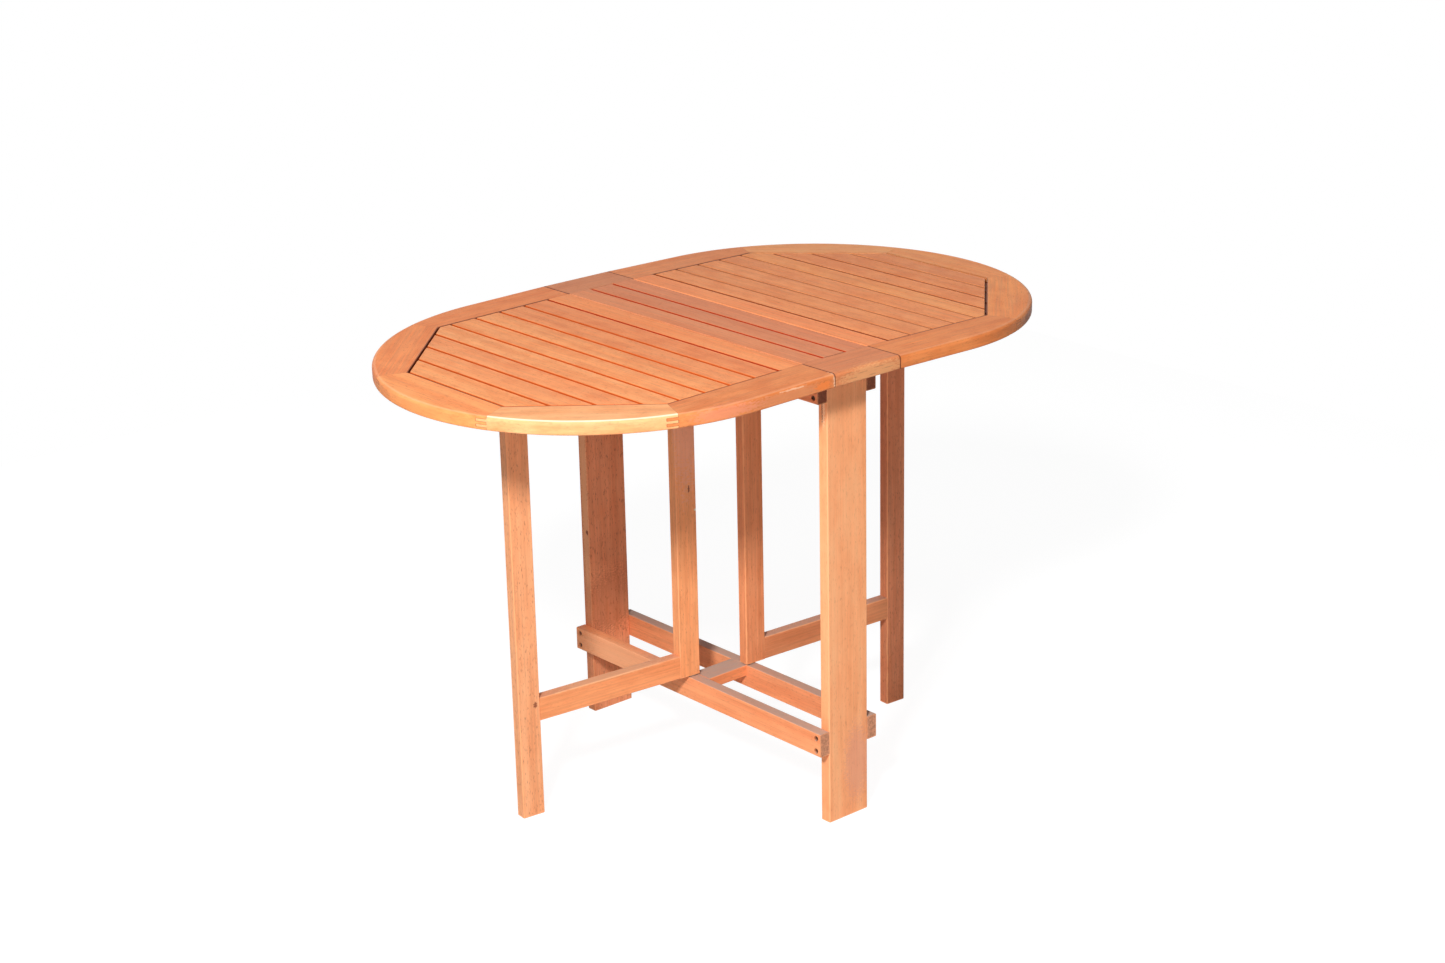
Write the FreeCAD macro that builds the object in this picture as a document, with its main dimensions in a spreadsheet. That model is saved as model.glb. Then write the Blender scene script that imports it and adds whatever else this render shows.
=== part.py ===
"""Oval gateleg table: a slatted top in three sections on a narrow trestle, with two swinging gates.

Millimetres. X runs along the top, Y across it, Z up; the origin is on the floor under the middle.
"""
import math
import os

import FreeCAD
import Part
import Sketcher

# ---------------------------------------------------------------------------
# Driving dimensions
# ---------------------------------------------------------------------------

SIZES = {
    # the top
    "table_height": 740,
    "top_thick": 21,
    "top_half_width": 345,
    "straight_half": 215,
    "round_over": 6,
    "round_under": 2.5,
    "eased_edge": 1.2,
    # the three sections
    "seam_place": 65.8,
    "seam_gap": 1.5,
    "slat_gap": 4.5,
    "centre_gap_place": 22.5,
    "first_gap_place": 109.9,
    "slat_pitch": 47.3,
    # the eight-sided opening of the frame, one quarter of it
    "frame_inner": 275,
    "corner_start": 322,
    "corner_end": 490,
    "corner_end_half": 116,
    "mitre_reach": 50,
    "finger_run": 19,
    # tongues and grooves
    "end_gap": 1.4,
    "corner_gap": 3,
    "tongue_thick": 7,
    "tongue_length": 7,
    "groove_thick": 7.2,
    "groove_deep": 8,
    # the trestle
    "stock_thick": 19,
    "leg_width": 80,
    "trestle_half": 300,
    "rail_height": 38,
    "lower_rail_base": 116,
    "block_width": 38,
    "block_tenon": 5,
    "tenon_thick": 9,
    "stock_round": 1.5,
    "rail_end_round": 4,
    # the gates
    "gate_stock": 38,
    "gate_gap": 2.5,
    "gate_reach": 301,
    "gate_tenon": 18,
    "pivot_across": 14.5,
    "pivot_inset": 7.5,
    "left_gate_angle": 5.7,
    "right_gate_angle": 3.3,
    "leaf_rest_gap": 0.3,
    # pivot pins
    "pin_radius": 4,
    "pin_depth": 20,
    "collar_radius": 7.5,
    "collar_slack": 0.2,
    "pin_short": 0.5,
    "snug_fit": 0.01,
    "running_fit": 0.06,
    # the leaf hinges
    "hinge_place": 185,
    "hinge_length": 60,
    "hinge_axis_in": 62,
    "hinge_axis_drop": 3,
    "knuckle_radius": 2.8,
    "hinge_pin_radius": 1.4,
    "plate_thick": 1.6,
    "plate_width": 24,
    "plate_relief": 0.4,
    "knuckle_gap": 0.3,
    "leaf_sag": 0.8,
    # gate stops under the leaves
    "stop_thick": 5,
    "stop_width": 19,
    "stop_length": 28,
    "stop_clearance": 1,
    # screws
    "screw_radius": 1.9,
    "screw_head_radius": 3.2,
    "screw_length": 45,
    "screw_spread": 10.5,
    "screw_bore_radius": 4.2,
    "screw_sink": 2.5,
    "screw_fit": 0.05,
    "hex_radius": 1.5,
    "hex_deep": 1.4,
    "top_screw_place": 140,
    "top_screw_sink": 8,
    "small_screw_radius": 1.6,
    "small_head_radius": 3,
    "small_screw_length": 14,
    "small_hex_radius": 1.1,
    "small_hex_deep": 0.8,
}

SLAT_COUNT = 8
STOP_SLAT = 5  # which slat, counted from 0 at the hinge, carries the gate stop
SIDES = {"left": -1, "right": 1}
ENDS = {"front": -1, "rear": 1}


class Length:
    """A number together with the sheet expression that gives it."""

    def __init__(self, value, text):
        self.value = value
        self.text = text

    @staticmethod
    def of(thing):
        if isinstance(thing, Length):
            return thing
        return Length(thing, f"({thing})")

    def __add__(self, other):
        other = Length.of(other)
        return Length(self.value + other.value, f"({self.text} + {other.text})")

    def __sub__(self, other):
        other = Length.of(other)
        return Length(self.value - other.value, f"({self.text} - {other.text})")

    def __mul__(self, other):
        other = Length.of(other)
        return Length(self.value * other.value, f"({self.text} * {other.text})")

    def __rmul__(self, other):
        return self * other

    def __truediv__(self, other):
        other = Length.of(other)
        return Length(self.value / other.value, f"({self.text} / {other.text})")

    def __neg__(self):
        return Length(-self.value, f"(-1 * {self.text})")


def longest(one, other):
    """The long side of a right angle with these two short sides."""
    return Length(math.hypot(one.value, other.value), f"sqrt({one.text}^2 + {other.text}^2)")


doc = FreeCAD.newDocument("GatelegTable")
sheet = doc.addObject("Spreadsheet::Sheet", "Sizes")
for row, (alias, number) in enumerate(SIZES.items(), start=1):
    sheet.set(f"A{row}", str(number))
    sheet.setAlias(f"A{row}", alias)
doc.recompute()


def size(alias):
    return Length(SIZES[alias], f"Sizes.{alias}")


NOUGHT = Length(0.0, "0")


# Heights and places that several pieces share
top_surface = size("table_height")
underside = top_surface - size("top_thick")
seam_in = size("seam_place") - size("seam_gap") / 2
seam_out = size("seam_place") + size("seam_gap") / 2
half_leg = size("leg_width") / 2
rail_outer = half_leg + size("stock_thick")
rail_middle = half_leg + size("stock_thick") / 2
lower_rail_top = size("lower_rail_base") + size("rail_height")
upper_rail_base = underside - size("rail_height")
gate_base = lower_rail_top + size("gate_gap")
gate_top = upper_rail_base - size("gate_gap")
hinge_axis_high = underside - size("hinge_axis_drop")
gate_stile_middle = rail_middle + size("pivot_inset")
gate_leg_out = gate_stile_middle + size("gate_reach") + size("gate_stock") / 2
rail_plate_spot = hinge_axis_high - size("plate_width") * 0.62
leaf_plate_spot = seam_out + size("plate_width") * 0.6
hinge_screw_steps = [-size("hinge_length") / 3, size("hinge_length") / 3]
small_cone = size("small_head_radius") - size("small_screw_radius")

# The sloping side of the frame's opening
corner_run = size("corner_end") - size("corner_start")
corner_rise = size("frame_inner") - size("corner_end_half")
corner_length = longest(corner_run, corner_rise)
corner_slope = corner_rise / corner_run

# Each part that is handed on, by its label
parts = {}


# ---------------------------------------------------------------------------
# Building helpers
# ---------------------------------------------------------------------------

def new_body(label, handed_on=True):
    body = doc.addObject("PartDesign::Body", label)
    body.Label = label
    if handed_on:
        parts[label] = body
    return body


def new_sketch(body, name, plane, offset=None):
    """A sketch on one of the body's own planes, moved along that plane's normal by offset."""
    support = [feature for feature in body.Origin.OriginFeatures if feature.Role == plane][0]
    sketch = body.newObject("Sketcher::SketchObject", f"{body.Label}_{name}")
    sketch.AttachmentSupport = (support, [""])
    sketch.MapMode = "FlatFace"
    if offset is not None:
        sketch.AttachmentOffset = FreeCAD.Placement(FreeCAD.Vector(0, 0, offset.value), FreeCAD.Rotation())
        sketch.setExpression(".AttachmentOffset.Base.z", offset.text)
    return sketch


def pin_point(sketch, line, end, across, along):
    """Fix one end of a sketch line, or a circle's centre, by its distances from the origin."""
    for kind, distance in (("DistanceX", across), ("DistanceY", along)):
        if abs(distance.value) < 1e-9:
            axis = -2 if kind == "DistanceX" else -1
            sketch.addConstraint(Sketcher.Constraint("PointOnObject", line, end, axis))
            continue
        index = sketch.addConstraint(Sketcher.Constraint(kind, -1, 1, line, end, distance.value))
        sketch.setExpression(f"Constraints[{index}]", distance.text)


def polygon(sketch, corners):
    """A closed outline through the corners, each a pair of lengths."""
    first = sketch.GeometryCount
    count = len(corners)
    for number, (across, along) in enumerate(corners):
        next_across, next_along = corners[(number + 1) % count]
        start = FreeCAD.Vector(across.value, along.value, 0)
        finish = FreeCAD.Vector(next_across.value, next_along.value, 0)
        sketch.addGeometry(Part.LineSegment(start, finish), False)
    for number in range(count):
        following = first + (number + 1) % count
        sketch.addConstraint(Sketcher.Constraint("Coincident", first + number, 2, following, 1))
    for number, (across, along) in enumerate(corners):
        pin_point(sketch, first + number, 1, across, along)


def rectangle(sketch, low_across, high_across, low_along, high_along):
    polygon(sketch, [(low_across, low_along), (high_across, low_along),
                     (high_across, high_along), (low_across, high_along)])


def circle(sketch, across, along, radius):
    centre = FreeCAD.Vector(across.value, along.value, 0)
    index = sketch.addGeometry(Part.Circle(centre, FreeCAD.Vector(0, 0, 1), radius.value), False)
    pin_point(sketch, index, 3, across, along)
    fixed = sketch.addConstraint(Sketcher.Constraint("Radius", index, radius.value))
    sketch.setExpression(f"Constraints[{fixed}]", radius.text)


def pad(body, sketch, length, backwards=False):
    feature = body.newObject("PartDesign::Pad", f"{sketch.Label}_pad")
    feature.Profile = sketch
    feature.Reversed = backwards
    feature.setExpression("Length", length.text)
    sketch.Visibility = False
    return feature


def pocket(body, sketch, length, backwards=False):
    """Cut away along the sketch's normal reversed, or along the normal when backwards."""
    feature = body.newObject("PartDesign::Pocket", f"{sketch.Label}_pocket")
    feature.Profile = sketch
    feature.Reversed = backwards
    feature.setExpression("Length", length.text)
    sketch.Visibility = False
    return feature


def edges_where(feature, wanted):
    """Names of the feature's straight edges for which wanted(start, finish) holds."""
    names = []
    for number, edge in enumerate(feature.Shape.Edges, start=1):
        if len(edge.Vertexes) != 2 or edge.Curve.TypeId != "Part::GeomLine":
            continue
        start, finish = (vertex.Point for vertex in edge.Vertexes)
        if wanted(start, finish):
            names.append(f"Edge{number}")
    return names


def round_edges(body, feature, wanted, radius):
    """Round the edges of the newest feature that wanted() picks."""
    doc.recompute()
    names = edges_where(feature, wanted)
    fillet = body.newObject("PartDesign::Fillet", f"{feature.Label}_rounding")
    fillet.Base = (feature, names)
    fillet.setExpression("Radius", radius.text)
    return fillet


def runs_along(axis, shortest=30):
    """True for an edge at least this long that runs along the axis, 0 for X, 1 for Y, 2 for Z."""
    def test(start, finish):
        step = finish - start
        others = [abs(step[number]) for number in range(3) if number != axis]
        return abs(step[axis]) > shortest and max(others) < 1e-6
    return test


def bar(label, low, high, axis, handed_on=True):
    """A length of squared timber between two corners, its long edges eased."""
    body = new_body(label, handed_on)
    sketch = new_sketch(body, "section", "XY_Plane", low[2])
    rectangle(sketch, low[0], high[0], low[1], high[1])
    stock = pad(body, sketch, high[2] - low[2])
    round_edges(body, stock, runs_along(axis), size("stock_round"))
    return body


def turned(centre, axis, angle):
    """A placement that turns things by angle degrees about a line through centre."""
    return FreeCAD.Placement(FreeCAD.Vector(0, 0, 0), FreeCAD.Rotation(axis, angle), centre)


def group_of_copies(label, master, places):
    """One node of separate solids: the master piece repeated at each placement."""
    links = []
    for number, place in enumerate(places, start=1):
        link = doc.addObject("App::Link", f"{label}_{number}")
        link.LinkedObject = master
        link.Placement = place
        links.append(link)
    group = doc.addObject("Part::Compound", label)
    group.Label = label
    group.Links = links
    parts[label] = group
    return group


def leaf_place(side):
    """How a leaf rests: turned down about its hinge line by the sag."""
    centre = FreeCAD.Vector(side * size("hinge_axis_in").value, 0, hinge_axis_high.value)
    return turned(centre, FreeCAD.Vector(0, 1, 0), side * size("leaf_sag").value)


def gate_rest_angle(side):
    return size("left_gate_angle") if side < 0 else size("right_gate_angle")


def gate_place(side):
    """How a gate rests: swung a little from square about its pivot."""
    centre = FreeCAD.Vector(side * rail_middle.value, -side * size("pivot_across").value, 0)
    return turned(centre, FreeCAD.Vector(0, 0, 1), -gate_rest_angle(side).value)


# ---------------------------------------------------------------------------
# The top: a stadium-shaped slab, from which the frame pieces take their outer edge
# ---------------------------------------------------------------------------

def stadium_slab():
    """The whole top as one board: straight sides, half-round ends, rounded edges."""
    body = new_body("top_blank", handed_on=False)
    sketch = new_sketch(body, "outline", "XY_Plane", underside)
    reach = size("straight_half").value
    radius = size("top_half_width").value
    up = FreeCAD.Vector(0, 0, 1)
    left, right = FreeCAD.Vector(-reach, 0, 0), FreeCAD.Vector(reach, 0, 0)
    sketch.addGeometry(Part.LineSegment(FreeCAD.Vector(-reach, -radius, 0), FreeCAD.Vector(reach, -radius, 0)))
    sketch.addGeometry(Part.ArcOfCircle(Part.Circle(right, up, radius), -math.pi / 2, math.pi / 2))
    sketch.addGeometry(Part.LineSegment(FreeCAD.Vector(reach, radius, 0), FreeCAD.Vector(-reach, radius, 0)))
    sketch.addGeometry(Part.ArcOfCircle(Part.Circle(left, up, radius), math.pi / 2, 3 * math.pi / 2))
    for number in range(4):
        sketch.addConstraint(Sketcher.Constraint("Tangent", number, 2, (number + 1) % 4, 1))
    sketch.addConstraint(Sketcher.Constraint("Equal", 1, 3))
    for arc, distance in ((1, size("straight_half")), (3, -size("straight_half"))):
        pin_point(sketch, arc, 3, distance, NOUGHT)
    index = sketch.addConstraint(Sketcher.Constraint("Radius", 1, radius))
    sketch.setExpression(f"Constraints[{index}]", size("top_half_width").text)
    slab = pad(body, sketch, size("top_thick"))
    doc.recompute()
    for name, high, radius in (("upper", top_surface, size("round_over")), ("lower", underside, size("round_under"))):
        newest = body.Tip
        names = [f"Edge{number}" for number, edge in enumerate(newest.Shape.Edges, start=1)
                 if abs(edge.BoundBox.ZMin - high.value) < 1e-6 and abs(edge.BoundBox.ZMax - high.value) < 1e-6]
        fillet = body.newObject("PartDesign::Fillet", f"top_blank_{name}_edge")
        fillet.Base = (newest, names)
        fillet.setExpression("Radius", radius.text)
        doc.recompute()
    return body


def opening_corners(side, depth):
    """Corners of the eight-sided opening on one leaf, grown outwards by depth, from the seam round."""
    first_share = depth / (corner_run / corner_length + 1)
    second_share = depth / (corner_rise / corner_length + 1)
    first = (size("corner_start") + first_share * corner_rise / corner_length, size("frame_inner") + depth)
    second = (size("corner_end") + depth, size("corner_end_half") + second_share * corner_run / corner_length)
    start = (seam_out, size("frame_inner") + depth)
    upper = [start, first, second]
    lower = [(across, -along) for across, along in reversed(upper)]
    return [(across * side, along) for across, along in upper + lower]


def mitre_ends():
    """For each frame corner: its inner point, and the point where its mitre is well outside the top."""
    reach = size("mitre_reach")
    first_in = (size("corner_start"), size("frame_inner"))
    first_out = (first_in[0] + reach * corner_rise / corner_length,
                 first_in[1] + reach * (corner_run / corner_length + 1))
    second_in = (size("corner_end"), size("corner_end_half"))
    second_out = (second_in[0] + reach * (corner_rise / corner_length + 1),
                  second_in[1] + reach * corner_run / corner_length)
    return first_in, first_out, second_in, second_out


def finger_area(inner, outer, towards):
    """Plan of a finger: a band beside the mitre that runs on into the neighbouring piece."""
    step_across = (towards[0] - inner[0]) * size("finger_run") / corner_length
    step_along = (towards[1] - inner[1]) * size("finger_run") / corner_length
    return [inner, (inner[0] + step_across, inner[1] + step_along),
            (outer[0] + step_across, outer[1] + step_along), outer]


def signed(corners, side, end):
    return [(across * side, along * end) for across, along in corners]


def frame_blank(label, plan, fingers, slots, groove):
    """The prism of one frame piece: its plan, finger layers added or cut, and the groove inside."""
    body = new_body(f"{label}_blank", handed_on=False)
    sketch = new_sketch(body, "plan", "XY_Plane", underside)
    polygon(sketch, plan)
    pad(body, sketch, size("top_thick"))
    layer = size("top_thick") / 5
    for number, area in enumerate(fingers):
        for level in (1, 3):
            sketch = new_sketch(body, f"finger_{number}_{level}", "XY_Plane", underside + layer * level)
            polygon(sketch, area)
            pad(body, sketch, layer)
    for number, area in enumerate(slots):
        for level in (1, 3):
            sketch = new_sketch(body, f"slot_{number}_{level}", "XY_Plane", underside + layer * (level + 1))
            polygon(sketch, area)
            pocket(body, sketch, layer)
    sketch = new_sketch(body, "groove", "XY_Plane", underside + (size("top_thick") + size("groove_thick")) / 2)
    polygon(sketch, groove)
    pocket(body, sketch, size("groove_thick"))
    return body


def frame_piece(label, slab, plan, fingers=(), slots=(), groove=(), place=None):
    """A frame piece takes its rounded outer edge from the slab and the rest from its own prism."""
    blank = frame_blank(label, plan, fingers, slots, groove)
    piece = doc.addObject("Part::Common", label)
    piece.Label = label
    piece.Base = slab
    piece.Tool = blank
    piece.Placement = place or FreeCAD.Placement()
    parts[label] = piece
    return piece


def leaf_frame(name, side, slab):
    """The five frame pieces of one leaf: each side has fingers for its corner, each corner for the outer end."""
    first_in, first_out, second_in, second_out = mitre_ends()
    beyond = (2 * second_in[0] - first_in[0], 2 * second_in[1] - first_in[1])
    side_finger = finger_area(first_in, first_out, second_in)
    corner_finger = finger_area(second_in, second_out, beyond)
    groove = opening_corners(side, size("groove_deep"))
    place = leaf_place(side)
    for end_name, end in ENDS.items():
        plan = [(seam_out, size("frame_inner")), first_in, first_out, (seam_out, first_out[1])]
        frame_piece(f"{name}_leaf_{end_name}_side", slab, signed(plan, side, end),
                    fingers=[signed(side_finger, side, end)], groove=groove, place=place)
        plan = [first_in, second_in, second_out, first_out]
        frame_piece(f"{name}_leaf_{end_name}_corner", slab, signed(plan, side, end),
                    fingers=[signed(corner_finger, side, end)], slots=[signed(side_finger, side, end)],
                    groove=groove, place=place)
    mirrored = [(second_in[0], -second_in[1]), (second_out[0], -second_out[1])]
    plan = [second_in, mirrored[0], mirrored[1], second_out]
    frame_piece(f"{name}_leaf_outer_end", slab, signed(plan, side, 1),
                slots=[signed(corner_finger, side, 1), signed(corner_finger, side, -1)],
                groove=groove, place=place)


def centre_frame(slab):
    """The two end pieces of the fixed centre section."""
    groove_edge = size("frame_inner") + size("groove_deep")
    groove = [(-seam_in, -groove_edge), (seam_in, -groove_edge), (seam_in, groove_edge), (-seam_in, groove_edge)]
    outer = size("top_half_width") + size("mitre_reach")
    for end_name, end in ENDS.items():
        plan = [(-seam_in, size("frame_inner")), (seam_in, size("frame_inner")), (seam_in, outer), (-seam_in, outer)]
        frame_piece(f"centre_{end_name}_end", slab, signed(plan, 1, end), groove=groove)


def slat_end(across, straight_gap, sloping_gap):
    """How far from the middle a slat runs at this place: the nearer of the straight and sloping sides."""
    straight = size("frame_inner") - straight_gap
    slope_drop = (across - size("corner_start")) * corner_slope
    sloping = size("frame_inner") - slope_drop - sloping_gap * corner_length / corner_run
    return straight if straight.value <= sloping.value else sloping


def slat_plan(low, high, straight_gap, sloping_gap):
    """Outline of a slat between two places along X, with an extra corner where its end turns."""
    corner = size("corner_start") + (straight_gap - sloping_gap * corner_length / corner_run) / corner_slope
    places = [low, high]
    if low.value < corner.value < high.value:
        places = [low, corner, high]
    upper = [(place, slat_end(place, straight_gap, sloping_gap)) for place in places]
    return upper + [(across, -along) for across, along in reversed(upper)]


def slat(label, low, high, side, end_gap, corner_gap, place=None):
    """A board of the top with a tongue on each end."""
    body = new_body(label)
    sketch = new_sketch(body, "plan", "XY_Plane", underside)
    polygon(sketch, signed(slat_plan(low, high, end_gap, corner_gap), side, 1))
    board = pad(body, sketch, size("top_thick"))

    def upper_arris(start, finish):
        return runs_along(1)(start, finish) and abs(start.z - top_surface.value) < 1e-6

    round_edges(body, board, upper_arris, size("eased_edge"))
    sketch = new_sketch(body, "tongue", "XY_Plane", underside + (size("top_thick") - size("tongue_thick")) / 2)
    polygon(sketch, signed(slat_plan(low, high, -size("tongue_length"), -size("tongue_length")), side, 1))
    pad(body, sketch, size("tongue_thick"))
    body.Placement = place or FreeCAD.Placement()
    return body


def leaf_slats(name, side):
    half_gap = size("slat_gap") / 2
    place = leaf_place(side)
    hinge_stile = slat(f"{name}_leaf_hinge_stile", seam_out, size("first_gap_place") - half_gap, side,
                       size("end_gap") / 4, size("corner_gap"), place)
    boards = []
    for number in range(SLAT_COUNT):
        low = size("first_gap_place") + size("slat_pitch") * number + half_gap
        high = size("first_gap_place") + size("slat_pitch") * (number + 1) - half_gap
        boards.append(slat(f"{name}_leaf_slat_{number + 1}", low, high, side,
                           size("end_gap"), size("corner_gap"), place))
    return hinge_stile, boards


def centre_slats():
    half_gap = size("slat_gap") / 2
    inner = size("centre_gap_place") - half_gap
    slat("centre_slat", -inner, inner, 1, size("end_gap"), size("corner_gap"))
    for name, side in SIDES.items():
        stile = slat(f"centre_{name}_stile", size("centre_gap_place") + half_gap, seam_in, side,
                     size("end_gap") / 4, size("corner_gap"))
        drill_up(stile, [(side * rail_middle, -size("top_screw_place")), (side * rail_middle, size("top_screw_place"))],
                 underside, size("screw_length") - size("rail_height") + size("top_screw_sink"),
                 size("screw_radius") + size("screw_fit"))


# ---------------------------------------------------------------------------
# Holes
# ---------------------------------------------------------------------------

def drill_up(body, centres, from_height, depth, radius):
    """Round holes that start at from_height and go upwards."""
    sketch = new_sketch(body, f"holes_up_{len(body.Group)}", "XY_Plane", from_height)
    for across, along in centres:
        circle(sketch, across, along, radius)
    return pocket(body, sketch, depth, backwards=True)


def drill_down(body, centres, from_height, depth, radius):
    """Round holes that start at from_height and go downwards."""
    sketch = new_sketch(body, f"holes_down_{len(body.Group)}", "XY_Plane", from_height)
    for across, along in centres:
        circle(sketch, across, along, radius)
    return pocket(body, sketch, depth)


def drill_across(body, centres, face, inwards, depth, radius):
    """Round holes along X that start at X = face; centres are (Y, Z) pairs."""
    sketch = new_sketch(body, f"holes_across_{len(body.Group)}", "YZ_Plane", face)
    for along, high in centres:
        circle(sketch, along, high, radius)
    return pocket(body, sketch, depth, backwards=inwards > 0)


def countersink(body, radius, spread, on_face):
    """Open the mouths of the holes of this radius whose centres on_face() picks, at 45 degrees."""
    doc.recompute()
    newest = body.Tip
    names = [f"Edge{number}" for number, edge in enumerate(newest.Shape.Edges, start=1)
             if edge.Curve.TypeId == "Part::GeomCircle"
             and abs(edge.Curve.Radius - radius.value) < 1e-6 and on_face(edge.Curve.Center)]
    chamfer = body.newObject("PartDesign::Chamfer", f"{newest.Label}_countersink")
    chamfer.Base = (newest, names)
    chamfer.setExpression("Size", spread.text)
    return chamfer


# ---------------------------------------------------------------------------
# The trestle
# ---------------------------------------------------------------------------

def rail_screw_centres():
    """(Y, Z) of the screws in one rail, for both rails on that side."""
    leg_middle = size("trestle_half") - size("stock_thick") / 2
    lower = size("lower_rail_base") + size("rail_height") / 2
    upper = underside - size("rail_height") / 2
    centres = {"lower": [], "upper": []}
    for level, height in (("lower", lower), ("upper", upper)):
        for end in ENDS.values():
            for step in (-1, 1):
                centres[level].append((leg_middle * end, height + size("screw_spread") * step))
    return centres


def trestle_legs():
    """Two flat legs that stand at the ends of the rails, with pilot holes in both narrow edges."""
    centres = rail_screw_centres()
    bite = size("screw_length") + size("screw_sink") - size("stock_thick")
    for name, end in ENDS.items():
        outer = size("trestle_half") * end
        inner = (size("trestle_half") - size("stock_thick")) * end
        low, high = (outer, inner) if end < 0 else (inner, outer)
        body = bar(f"{name}_leg", (-half_leg, low, NOUGHT), (half_leg, high, underside), axis=2)
        here = [centre for level in centres.values() for centre in level if centre[0].value * end > 0]
        for side in SIDES.values():
            drill_across(body, here, side * half_leg, -side, bite, size("screw_radius") + size("screw_fit"))


def trestle_rail(name, side, level):
    """A rail lapped on the legs' edges, screwed at both ends and bored for the gate pivot."""
    base = size("lower_rail_base") if level == "lower" else upper_rail_base
    top = base + size("rail_height")
    low, high = (half_leg, rail_outer) if side > 0 else (-rail_outer, -half_leg)
    body = bar(f"{name}_{level}_rail", (low, -size("trestle_half"), base), (high, size("trestle_half"), top), axis=1)
    centres = rail_screw_centres()[level]
    hole = size("screw_radius") + size("screw_fit")
    wide = size("screw_bore_radius")
    cone = size("screw_head_radius") - size("screw_radius")
    drill_across(body, centres, side * rail_outer, -side, size("stock_thick"), hole)
    drill_across(body, centres, side * rail_outer, -side, size("screw_sink"), wide)
    floor = side * (rail_outer - size("screw_sink"))
    countersink(body, hole, cone, lambda centre: abs(centre.x - floor.value) < 1e-6)
    pivot = [(side * rail_middle, -side * size("pivot_across"))]
    snug = size("pin_radius")
    if level == "lower":
        drill_down(body, pivot, top, size("pin_depth"), snug)
    else:
        drill_up(body, pivot, base, size("pin_depth"), snug)
        top_screws = [(side * rail_middle, size("top_screw_place") * end) for end in ENDS.values()]
        drill_up(body, top_screws, base, size("rail_height"), hole)
        drill_up(body, top_screws, base, size("top_screw_sink"), wide)
        deep = base + size("top_screw_sink")
        countersink(body, hole, cone, lambda centre: abs(centre.z - deep.value) < 1e-6)
        hinge_holes = [(size("hinge_place") * end + step, rail_plate_spot)
                       for end in ENDS.values() for step in hinge_screw_steps]
        drill_across(body, hinge_holes, side * rail_outer, -side, size("small_screw_length") - size("plate_thick"),
                     size("small_screw_radius") + size("screw_fit"))
    mortise_base = block_tenon_base(level)
    sketch = new_sketch(body, "mortise", "YZ_Plane", side * half_leg)
    half_tenon = size("block_width") / 2 - size("tenon_thick") / 2
    rectangle(sketch, -half_tenon, half_tenon, mortise_base, mortise_base + size("tenon_thick"))
    pocket(body, sketch, size("block_tenon"), backwards=side > 0)


def block_tenon_base(level):
    block_top = lower_rail_top if level == "lower" else underside
    return block_top - (size("stock_thick") + size("tenon_thick")) / 2


def cross_block(level):
    """A flat piece between the rails, flush with their tops, with a stub tenon on each end."""
    top = lower_rail_top if level == "lower" else underside
    half = size("block_width") / 2
    body = bar(f"{level}_cross_block", (-half_leg, -half, top - size("stock_thick")), (half_leg, half, top), axis=0)
    base = block_tenon_base(level)
    sketch = new_sketch(body, "tenons", "XY_Plane", base)
    half_tenon = half - size("tenon_thick") / 2
    reach = half_leg + size("block_tenon")
    rectangle(sketch, -reach, reach, -half_tenon, half_tenon)
    pad(body, sketch, size("tenon_thick"))


# ---------------------------------------------------------------------------
# The gates
# ---------------------------------------------------------------------------

def gate(name, side):
    """A frame of two stiles and two rails; the outer stile is a leg that reaches the floor."""
    place = gate_place(side)
    across = -side * size("pivot_across")
    near_face = across - size("stock_thick") / 2
    far_face = across + size("stock_thick") / 2
    half = size("gate_stock") / 2
    stile_in, stile_out = gate_stile_middle - half, gate_stile_middle + half
    leg_in, leg_out = gate_leg_out - size("gate_stock"), gate_leg_out
    leg_top = underside - (leg_out - size("hinge_axis_in")) * math.tan(math.radians(SIZES["leaf_sag"]))
    leg_top = leg_top - size("leaf_rest_gap")

    def ordered(one, other):
        return (one, other) if side > 0 else (-other, -one)

    bounds = {"stile": (ordered(stile_in, stile_out), gate_base, gate_top),
              "leg": (ordered(leg_in, leg_out), NOUGHT, leg_top)}
    rails = {"lower": gate_base, "upper": gate_top - size("gate_stock")}
    tenon_low = size("tenon_thick")
    tenon_tall = size("gate_stock") - tenon_low * 2
    tenon_near = across - size("tenon_thick") / 2
    tenon_far = across + size("tenon_thick") / 2

    for piece, ((low, high), base, top) in bounds.items():
        body = bar(f"{name}_gate_{piece}", (low, near_face, base), (high, far_face, top), axis=2)
        face = stile_out if piece == "stile" else leg_in
        for level, rail_base in rails.items():
            sketch = new_sketch(body, f"{level}_mortise", "YZ_Plane", side * face)
            rectangle(sketch, tenon_near, tenon_far, rail_base + tenon_low, rail_base + tenon_low + tenon_tall)
            opens_outwards = (piece == "leg") == (side > 0)
            pocket(body, sketch, size("gate_tenon"), backwards=opens_outwards)
        if piece == "stile":
            pivot = [(side * rail_middle, across)]
            bore = size("pin_radius") + size("running_fit")
            drill_up(body, pivot, gate_base, size("pin_depth") + 1, bore)
            drill_down(body, pivot, gate_top, size("pin_depth") + 1, bore)
        body.Placement = place

    for level, rail_base in rails.items():
        low, high = ordered(stile_out, leg_in)
        body = bar(f"{name}_gate_{level}_rail", (low, near_face, rail_base),
                   (high, far_face, rail_base + size("gate_stock")), axis=0)
        sketch = new_sketch(body, "tenons", "XY_Plane", rail_base + tenon_low)
        low, high = ordered(stile_out - size("gate_tenon"), leg_in + size("gate_tenon"))
        rectangle(sketch, low, high, tenon_near, tenon_far)
        pad(body, sketch, tenon_tall)
        body.Placement = place


# ---------------------------------------------------------------------------
# Metalwork
# ---------------------------------------------------------------------------

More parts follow.
